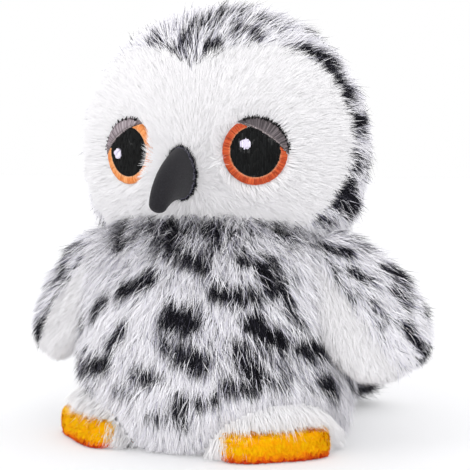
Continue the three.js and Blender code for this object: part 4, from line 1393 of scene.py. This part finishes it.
# Wool felt: matted fibres about 0.02 mm thick, drawn here as a grain of 0.25 mm so that it shows. The
# grain lifts the surface a little and lightens some of it.
felt = grained_material(
    "wool_felt_charcoal", [(0.35, "#1B1A1E"), (0.55, "#242327"), (0.75, "#323136")], 0.5, 0.0001,
    {"Scale": 4000.0, "Detail": 3.0, "Roughness": 0.7},
    Roughness=0.95, Specular_IOR_Level=0.2, Sheen_Weight=0.08,
)
beak_felt = mesh_piece("beak_felt", beak_points, beak_triangles, felt)
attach(beak_felt, "torso")
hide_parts("beak")
print("felt:", felt.name)

# %% Fibres round the beak's root
roots, normals = scatter(beak_grid(), 30, 95)
closeness = np.clip(1 - np.abs(head_gap(roots) + 0.2) / 0.9, 0, 1)
near_face = closeness > np.random.default_rng(96).random(len(roots))
roots, normals = roots[near_face], normals[near_face]
beak_middle = turn_head(np.array([BEAK_ASIDE, -30.0, 60.0]))
edge_points, edge_normals = strands(roots, normals, roots - beak_middle, length=1.3, rise=30, seed=97,
                                    droop=0, width=0.14, pull=0.2, swing=40, stray=25, soft=0.3)
edge_map = strand_map(np.full(len(edge_points), 0.97))
beak_edge = mesh_piece("beak_edge_fibres", edge_points.reshape(-1, 3), ribbon_triangles(len(edge_points)),
                       PILES["spotted_plush"], edge_map.reshape(-1, 2), edge_normals.reshape(-1, 3))
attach(beak_edge, "torso")
print("fibres round the beak:", len(edge_points))

# %% [markdown]
# ## Embroidered eyes
#
# Each eye is worked in satin stitch: threads laid side by side, each about 0.4 mm wide, that dip into the
# cloth at both ends. Round the ring they run outwards like spokes, in the pupil they run up and down in
# short staggered lengths, and across the lid they run over its band, with black ones as teeth along its
# upper edge. The flat layers of the solids stay below as their ground.


# %% Thread materials
def thread_material(name, tones, inner, shine=0.4):
    """Polyester embroidery thread: smooth filaments lie along it, so it shines softly, and the black one
    least. The map's first number is the thread's own tone, and its second how far along it is, from the
    inner end."""
    material, tree, shader = new_material(name)
    part = map_parts(tree)
    ramp = node(tree, "ShaderNodeValToRGB", Fac=part["X"])
    near_end = node(tree, "ShaderNodeMapRange", {"interpolation_type": "SMOOTHSTEP"}, Value=part["Y"],
                    From_Min=0.0, From_Max=0.35, To_Min=1.0, To_Max=0.0)
    mixed = node(tree, "ShaderNodeMix", {"data_type": "RGBA"}, _0=near_end.outputs["Result"],
                 _6=stops(ramp, tones), _7=linear(inner))
    feed(tree, shader, Base_Color=mixed.outputs[2], Roughness=0.5, Specular_IOR_Level=shine)
    return material


def ground_material(name, dark, light):
    """The same thread seen between the stitches: a fine grain of 0.3 mm between two of its tones."""
    return grained_material(name, [(0.3, dark), (0.7, light)], 0.4, 0.0001, {"Scale": 3300.0, "Detail": 2.0},
                            Roughness=0.6)


# The owl's right eye, which faces the key lamp, has lighter copies of the left eye's iris and lid threads:
# painted light.
THREADS = {
    "left_iris": thread_material("thread_burnt_orange", [(0, "#A63A10"), (0.5, "#C64A1B"), (1, "#DA6832")],
                                 "#E08A5E"),
    "right_iris": thread_material("thread_burnt_orange_with_painted_light", [(0, "#DE7F38"), (0.5, "#EB9650"), (1, "#F4B074")],
                                  "#F3B482"),
    "pupil": thread_material("thread_black", [(0, "#060607"), (0.6, "#0D0E0E"), (1, "#151617")], "#0A0B0B",
                             shine=0.12),
    "highlight": thread_material("thread_pale_lilac", [(0, "#D9D0E8"), (1, "#F3EFFA")], "#E4DDF0"),
    "left_lid": thread_material("thread_brown_grey", [(0, "#3E383B"), (0.5, "#574F52"), (1, "#746B6E")],
                                "#6A6063"),
    "right_lid": thread_material("thread_brown_grey_with_painted_light", [(0, "#6E6267"), (0.5, "#93878C"), (1, "#B5AAAF")],
                                 "#5A5054"),
    "hem": thread_material("thread_pale_grey", [(0, "#7F7476"), (1, "#AFA4A5")], "#8F8486"),
}
print("threads:", len(THREADS))

# %% Places on an eye
PUPIL_SIZE = np.array([11.0, 11.2])
LID_REACH, LID_DROP, LID_TILT = 24.0, 4.4, math.radians(58)
HIGHLIGHTS = {"left": (-2.2, 1.7), "right": (-3.2, -0.4)}
HIGHLIGHT_SIZE = np.array([2.5, 2.5])


def on_eye(side, x, y, lift):
    """The point over (x, y) of an eye's frame where the line along its outward direction leaves the
    head's form, the given lift above the eye's own depth. Six steps along the slope find it."""
    middle, across, up, normal = eye_frame(side)
    start = middle + x[..., None] * across + y[..., None] * up - HEAD_CENTRE
    radii = HEAD_RADII - EYE_DEPTH + lift[..., None]
    t = np.full(x.shape, 3.0)
    for _ in range(6):
        share = head_share(start + t[..., None] * normal, radii)
        ahead = head_share(start + (t[..., None] + 0.01) * normal, radii)
        t = t - (share - 1) * 0.01 / (ahead - share)
    return turn_head(HEAD_CENTRE + start + t[..., None] * normal)


def under_lid(side, x, y):
    """How far a point of the eye's frame lies beyond the lid's lower edge, a large circle, in mm."""
    shift = LID_DROP - LID_REACH
    return np.hypot(x - side * shift * math.cos(LID_TILT), y - shift * math.sin(LID_TILT)) - LID_REACH


print("the left lid's edge above the eye's middle, mm:", round(float(-under_lid(1, 0, 0)), 2))

# %% Stitches
STITCH_DIP = 0.12  # mm that a thread's ends go down into the cloth


def stitches(name, slot, side, starts, ends, material, width=0.42, height=0.16, seed=1, lift=0.0):
    """Threads from starts to ends, given in an eye's frame. Each is a strip of 5 by 5 points: across it
    a half circle, and along it a height of 1 - |2 s - 1|^4, so that its ends dip into the cloth."""
    chance = np.random.default_rng(seed)
    count = len(starts)
    s = np.linspace(0, 1, 5)[None, :, None]
    bow = np.linspace(0, np.pi, 5)[None, None]
    line = ends - starts
    heading = line / np.maximum(np.linalg.norm(line, axis=1, keepdims=True), 1e-6)
    left = np.stack([-heading[:, 1], heading[:, 0]], axis=1)
    half = width / 2 * (0.85 + 0.3 * chance.random(count))[:, None, None] * (1 - 0.4 * np.abs(2 * s - 1) ** 6)
    x, y = (
        starts[:, k, None, None] + s * line[:, k, None, None] + half * np.cos(bow) * left[:, k, None, None]
        for k in (0, 1)
    )
    along = (height + STITCH_DIP) * (1 - np.abs(2 * s - 1) ** 4)
    rise = lift - STITCH_DIP + along * (0.35 + 0.65 * np.sin(bow))
    points = on_eye(side, x, y, np.broadcast_to(rise, x.shape)).reshape(-1, 3)
    i, j = np.meshgrid(np.arange(4), np.arange(4), indexing="ij")
    corner = (i * 5 + j).ravel()[None] + 25 * np.arange(count)[:, None]
    strip = [np.stack([corner, corner + 1, corner + 6], -1), np.stack([corner, corner + 6, corner + 5], -1)]
    tone = np.repeat(chance.random(count), 25).reshape(count, 5, 5)
    across = (np.floor(tone * 20) + 0.1 + 0.8 * bow / np.pi + 0 * s) / 20
    where = np.stack([across, np.broadcast_to(0.02 + 0.96 * s, tone.shape)], axis=-1)
    made = mesh_piece(name, points, np.concatenate(strip).reshape(-1, 3), material, where.reshape(-1, 2))
    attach(made, "torso")
    print(name, "stitches:", count)


def spokes(inner, outer, count, keep, chance):
    """Starts and ends of threads between two ellipses, with outer ends ragged by 0.3 mm. Each is cut to
    the part of it that is kept, and left out where that is under a fifth of it."""
    turn = np.linspace(0, 2 * np.pi, count, endpoint=False) + 0.01 * chance.standard_normal(count)
    ray = np.stack([np.cos(turn), np.sin(turn)], axis=1)
    starts = ray * inner / 2
    ends = ray * (outer / 2 + 0.3 * (chance.random((count, 1)) - 0.4))
    share = np.linspace(0, 1, 21)[None, :, None]
    places = starts[:, None] + share * (ends - starts)[:, None]
    inside = keep(places[..., 0], places[..., 1])
    first, last = inside.argmax(1), 20 - inside[:, ::-1].argmax(1)
    rows = np.flatnonzero(inside.any(1) & (last - first > 3))
    return places[rows, first[rows]], places[rows, last[rows]]


def fill_lines(size, spacing, chance, keep, length):
    """Starts and ends of upright threads that fill an ellipse in staggered lengths. Each leans by 0.02
    of its height."""
    starts, ends = [], []
    for k, x in enumerate(np.arange(-size[0] / 2 + spacing / 2, size[0] / 2, spacing)):
        top = size[1] / 2 * math.sqrt(max(1 - (2 * x / size[0]) ** 2, 0))
        breaks = np.arange(-top - length * chance.random(), top + length, length)
        breaks = np.clip(breaks, -top, top)
        for low, high in zip(breaks[:-1], breaks[1:]):
            if high - low > 0.4 and keep(x, (low + high) / 2):
                starts.append((x - 0.02 * low, low))
                ends.append((x - 0.02 * high, high))
    return np.array(starts), np.array(ends)


# %% Embroidery
TOOTH_SHARE = {"left": 0.85, "right": 0.35}  # of the lid's threads that end in a black tooth

for side, side_name in SIDES:
    chance = np.random.default_rng(100 + side)
    spot = np.array(HIGHLIGHTS[side_name])

    def on_pupil(x, y):
        """True below the lid and round the highlight."""
        return under_lid(side, x, y) < -0.1 and math.hypot(x - spot[0], y - spot[1]) > 1.5

    ring = spokes(PUPIL_SIZE + 0.1, EYE_SIZE - 0.3, 200, lambda x, y: under_lid(side, x, y) < -0.1, chance)
    pupil = fill_lines(PUPIL_SIZE, 0.36, chance, on_pupil, 2.6)
    gleam = fill_lines(HIGHLIGHT_SIZE, 0.4, chance, lambda x, y: True, 3)
    lid = spokes(PUPIL_SIZE * 0.6, EYE_SIZE + 0.2, 150, lambda x, y: under_lid(side, x, y) > 0.1, chance)
    picked = chance.random(len(lid[1])) < TOOTH_SHARE[side_name]
    root, out = lid[1][picked], unit(lid[1][picked])
    teeth = root - 0.35 * out, root + (0.35 + 0.45 * chance.random(len(root)))[:, None] * out
    inwards = unit(lid[1] - lid[0])
    hem = lid[0] - 0.12 * inwards, lid[0] + 0.3 * inwards
    stitches(f"{side_name}_iris_stitches", "iris_thread", side, *ring, THREADS[f"{side_name}_iris"],
             seed=1, width=0.26, height=0.12)
    stitches(f"{side_name}_pupil_stitches", "pupil_thread", side, *pupil, THREADS["pupil"],
             seed=2, height=0.12)
    stitches(f"{side_name}_highlight_stitches", "highlight_thread", side, gleam[0] + spot, gleam[1] + spot,
             THREADS["highlight"], seed=3, lift=0.05)
    stitches(f"{side_name}_lid_stitches", "eyelid_thread", side, *lid, THREADS[f"{side_name}_lid"],
             seed=4, width=0.34, lift=0.04)
    stitches(f"{side_name}_lid_teeth", "eyelid_thread", side, *teeth, THREADS["pupil"],
             seed=5, width=0.24, lift=0.1)
    stitches(f"{side_name}_lid_hem", "eyelid_thread", side, *hem, THREADS["hem"],
             seed=6, width=0.2, lift=0.08)

# %% Ground below the stitches
# The right eye's iris and lid grounds are lighter copies of the left's: painted light.
grounds = {
    "left_iris_ring": ground_material("thread_ground_orange", "#A33A10", "#D2501E"),
    "right_iris_ring": ground_material("thread_ground_orange_with_painted_light", "#CC6E2C", "#EB9650"),
    "left_eyelid": ground_material("thread_ground_brown_grey", "#332E30", "#574F52"),
    "right_eyelid": ground_material("thread_ground_brown_grey_with_painted_light", "#5E5458", "#93878C"),
}
black_ground = ground_material("thread_ground_black", "#060607", "#111213")
lilac_ground = ground_material("thread_ground_lilac", "#CFC6E0", "#E9E3F4")
for _, side_name in SIDES:
    grounds[f"{side_name}_pupil"] = black_ground
    grounds[f"{side_name}_highlight"] = lilac_ground


def dress(name, material):
    """Gives a CAD node's object its material in every slot."""
    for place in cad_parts[name].material_slots:
        place.material = material


for name, material in grounds.items():
    dress(name, material)
print("layers of the eyes dressed:", len(grounds))

# %% [markdown]
# ## Base, stuffing and bags
#
# The base is a plain woven cloth that closes the body below. Inside are polyester fibre, a cotton bag of
# plastic pellets that keeps the toy upright, and a small pouch of dried catnip.


# %% Woven cloth and loose fibre
BAND_SPACING = 314.16  # mm from band to band of a wave of scale 1
THREAD_SPACING = 0.6  # mm


def woven_material(name, dark, light):
    """Plain weave of cotton, so it is matte: two sets of bands at right angles, multiplied."""
    material, tree, shader = new_material(name)
    place = node(tree, "ShaderNodeTexCoord")
    warp, weft = (
        node(tree, "ShaderNodeTexWave", {"bands_direction": way}, Vector=place.outputs["Object"],
             Scale=BAND_SPACING / THREAD_SPACING)
        for way in "XY"
    )
    weave = node(tree, "ShaderNodeMath", {"operation": "MULTIPLY"}, _0=warp.outputs["Fac"],
                 _1=weft.outputs["Fac"])
    patterned(tree, shader, weave.outputs["Value"], [(0.0, dark), (0.6, light)], 0.6, 0.0002, Roughness=0.9)
    return material


# Loose polyester fibre: a stretched grain of about 1 mm with finer detail in it.
fibre = grained_material(
    "polyester_fibre_white", [(0.3, "#E4E4E2"), (0.7, "#FAFAF8")], 0.8, 0.0005,
    {"Scale": 1000.0, "Detail": 6.0, "Roughness": 0.7, "Distortion": 1.5}, Roughness=1.0,
)
stuffed = [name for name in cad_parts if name.endswith(("_stuffing", "_wadding"))]
for name in stuffed:
    dress(name, fibre)
dress("base_panel", woven_material("woven_cotton_pale", "#CFCBCB", "#EDEBEB"))
dress("pellet_bag", woven_material("woven_cotton_natural", "#B9A98A", "#E0D5BD"))
dress("catnip_pouch", woven_material("woven_cotton_green", "#97A57A", "#C6D0AA"))
print("pieces of stuffing and wadding dressed:", len(stuffed))

# %% [markdown]
# ## Floor and light
#
# The toy stands on white paper in a light room, with a large soft lamp from the picture's left, in front
# and above, and a second one in front and low, which lights the fur's undersides and the feet. The floor
# is a little grey to light that falls on it, so that it keeps the shadow, and adds a glow that only the
# camera and mirrors see, which makes the lit part of it white.


# %% Floor
def seen_directly(tree):
    """1 for rays from the camera, and for those that reach it by a mirror or through glass, else 0."""
    rays = node(tree, "ShaderNodeLightPath").outputs
    seen = rays["Is Camera Ray"]
    for kind in ("Is Glossy Ray", "Is Transmission Ray"):
        seen = node(tree, "ShaderNodeMath", {"operation": "MAXIMUM"}, _0=seen, _1=rays[kind]).outputs["Value"]
    return seen


floor_mesh = bpy.data.meshes.new("floor")
floor_mesh.from_pydata([(-3, -3, 0), (3, -3, 0), (3, 3, 0), (-3, 3, 0)], [], [(0, 1, 2, 3)])
floor = in_scene("floor", floor_mesh)
floor_material, tree, shader = new_material("floor_white_paper")
glow = node(tree, "ShaderNodeMath", {"operation": "MULTIPLY"}, _0=seen_directly(tree), _1=0.22)
feed(tree, shader, Base_Color=linear("#DEDEE0"), Roughness=0.9, Specular_IOR_Level=0.1,
     Emission_Color=linear("#FFFFFF"), Emission_Strength=glow.outputs["Value"])
floor_mesh.materials.append(floor_material)
print("floor:", floor_material.name)

# %% Room and lamps
world = bpy.data.worlds.new("room")
world.use_nodes = True
bpy.context.scene.world = world
tree = world.node_tree
strength = node(tree, "ShaderNodeMapRange", Value=seen_directly(tree), To_Min=1.12, To_Max=1.0)
feed(tree, tree.nodes["Background"], Color=linear("#FFFFFF"), Strength=strength.outputs["Result"])


def lamp(name, place, target, size, power):
    """A square area lamp that faces a target. Its light falls off with the square of distance."""
    data = bpy.data.lights.new(name, "AREA")
    data.size = size
    data.energy = power
    made = in_scene(name, data)
    made.location = place
    made.rotation_euler = aimed(place, target)


lamp("key_lamp", (-0.27, -0.50, 0.50), (0, 0, 0.05), 0.35, 0.25)
lamp("front_fill", (0.20, -0.55, 0.16), (0, -0.02, 0.03), 0.40, 1.0)
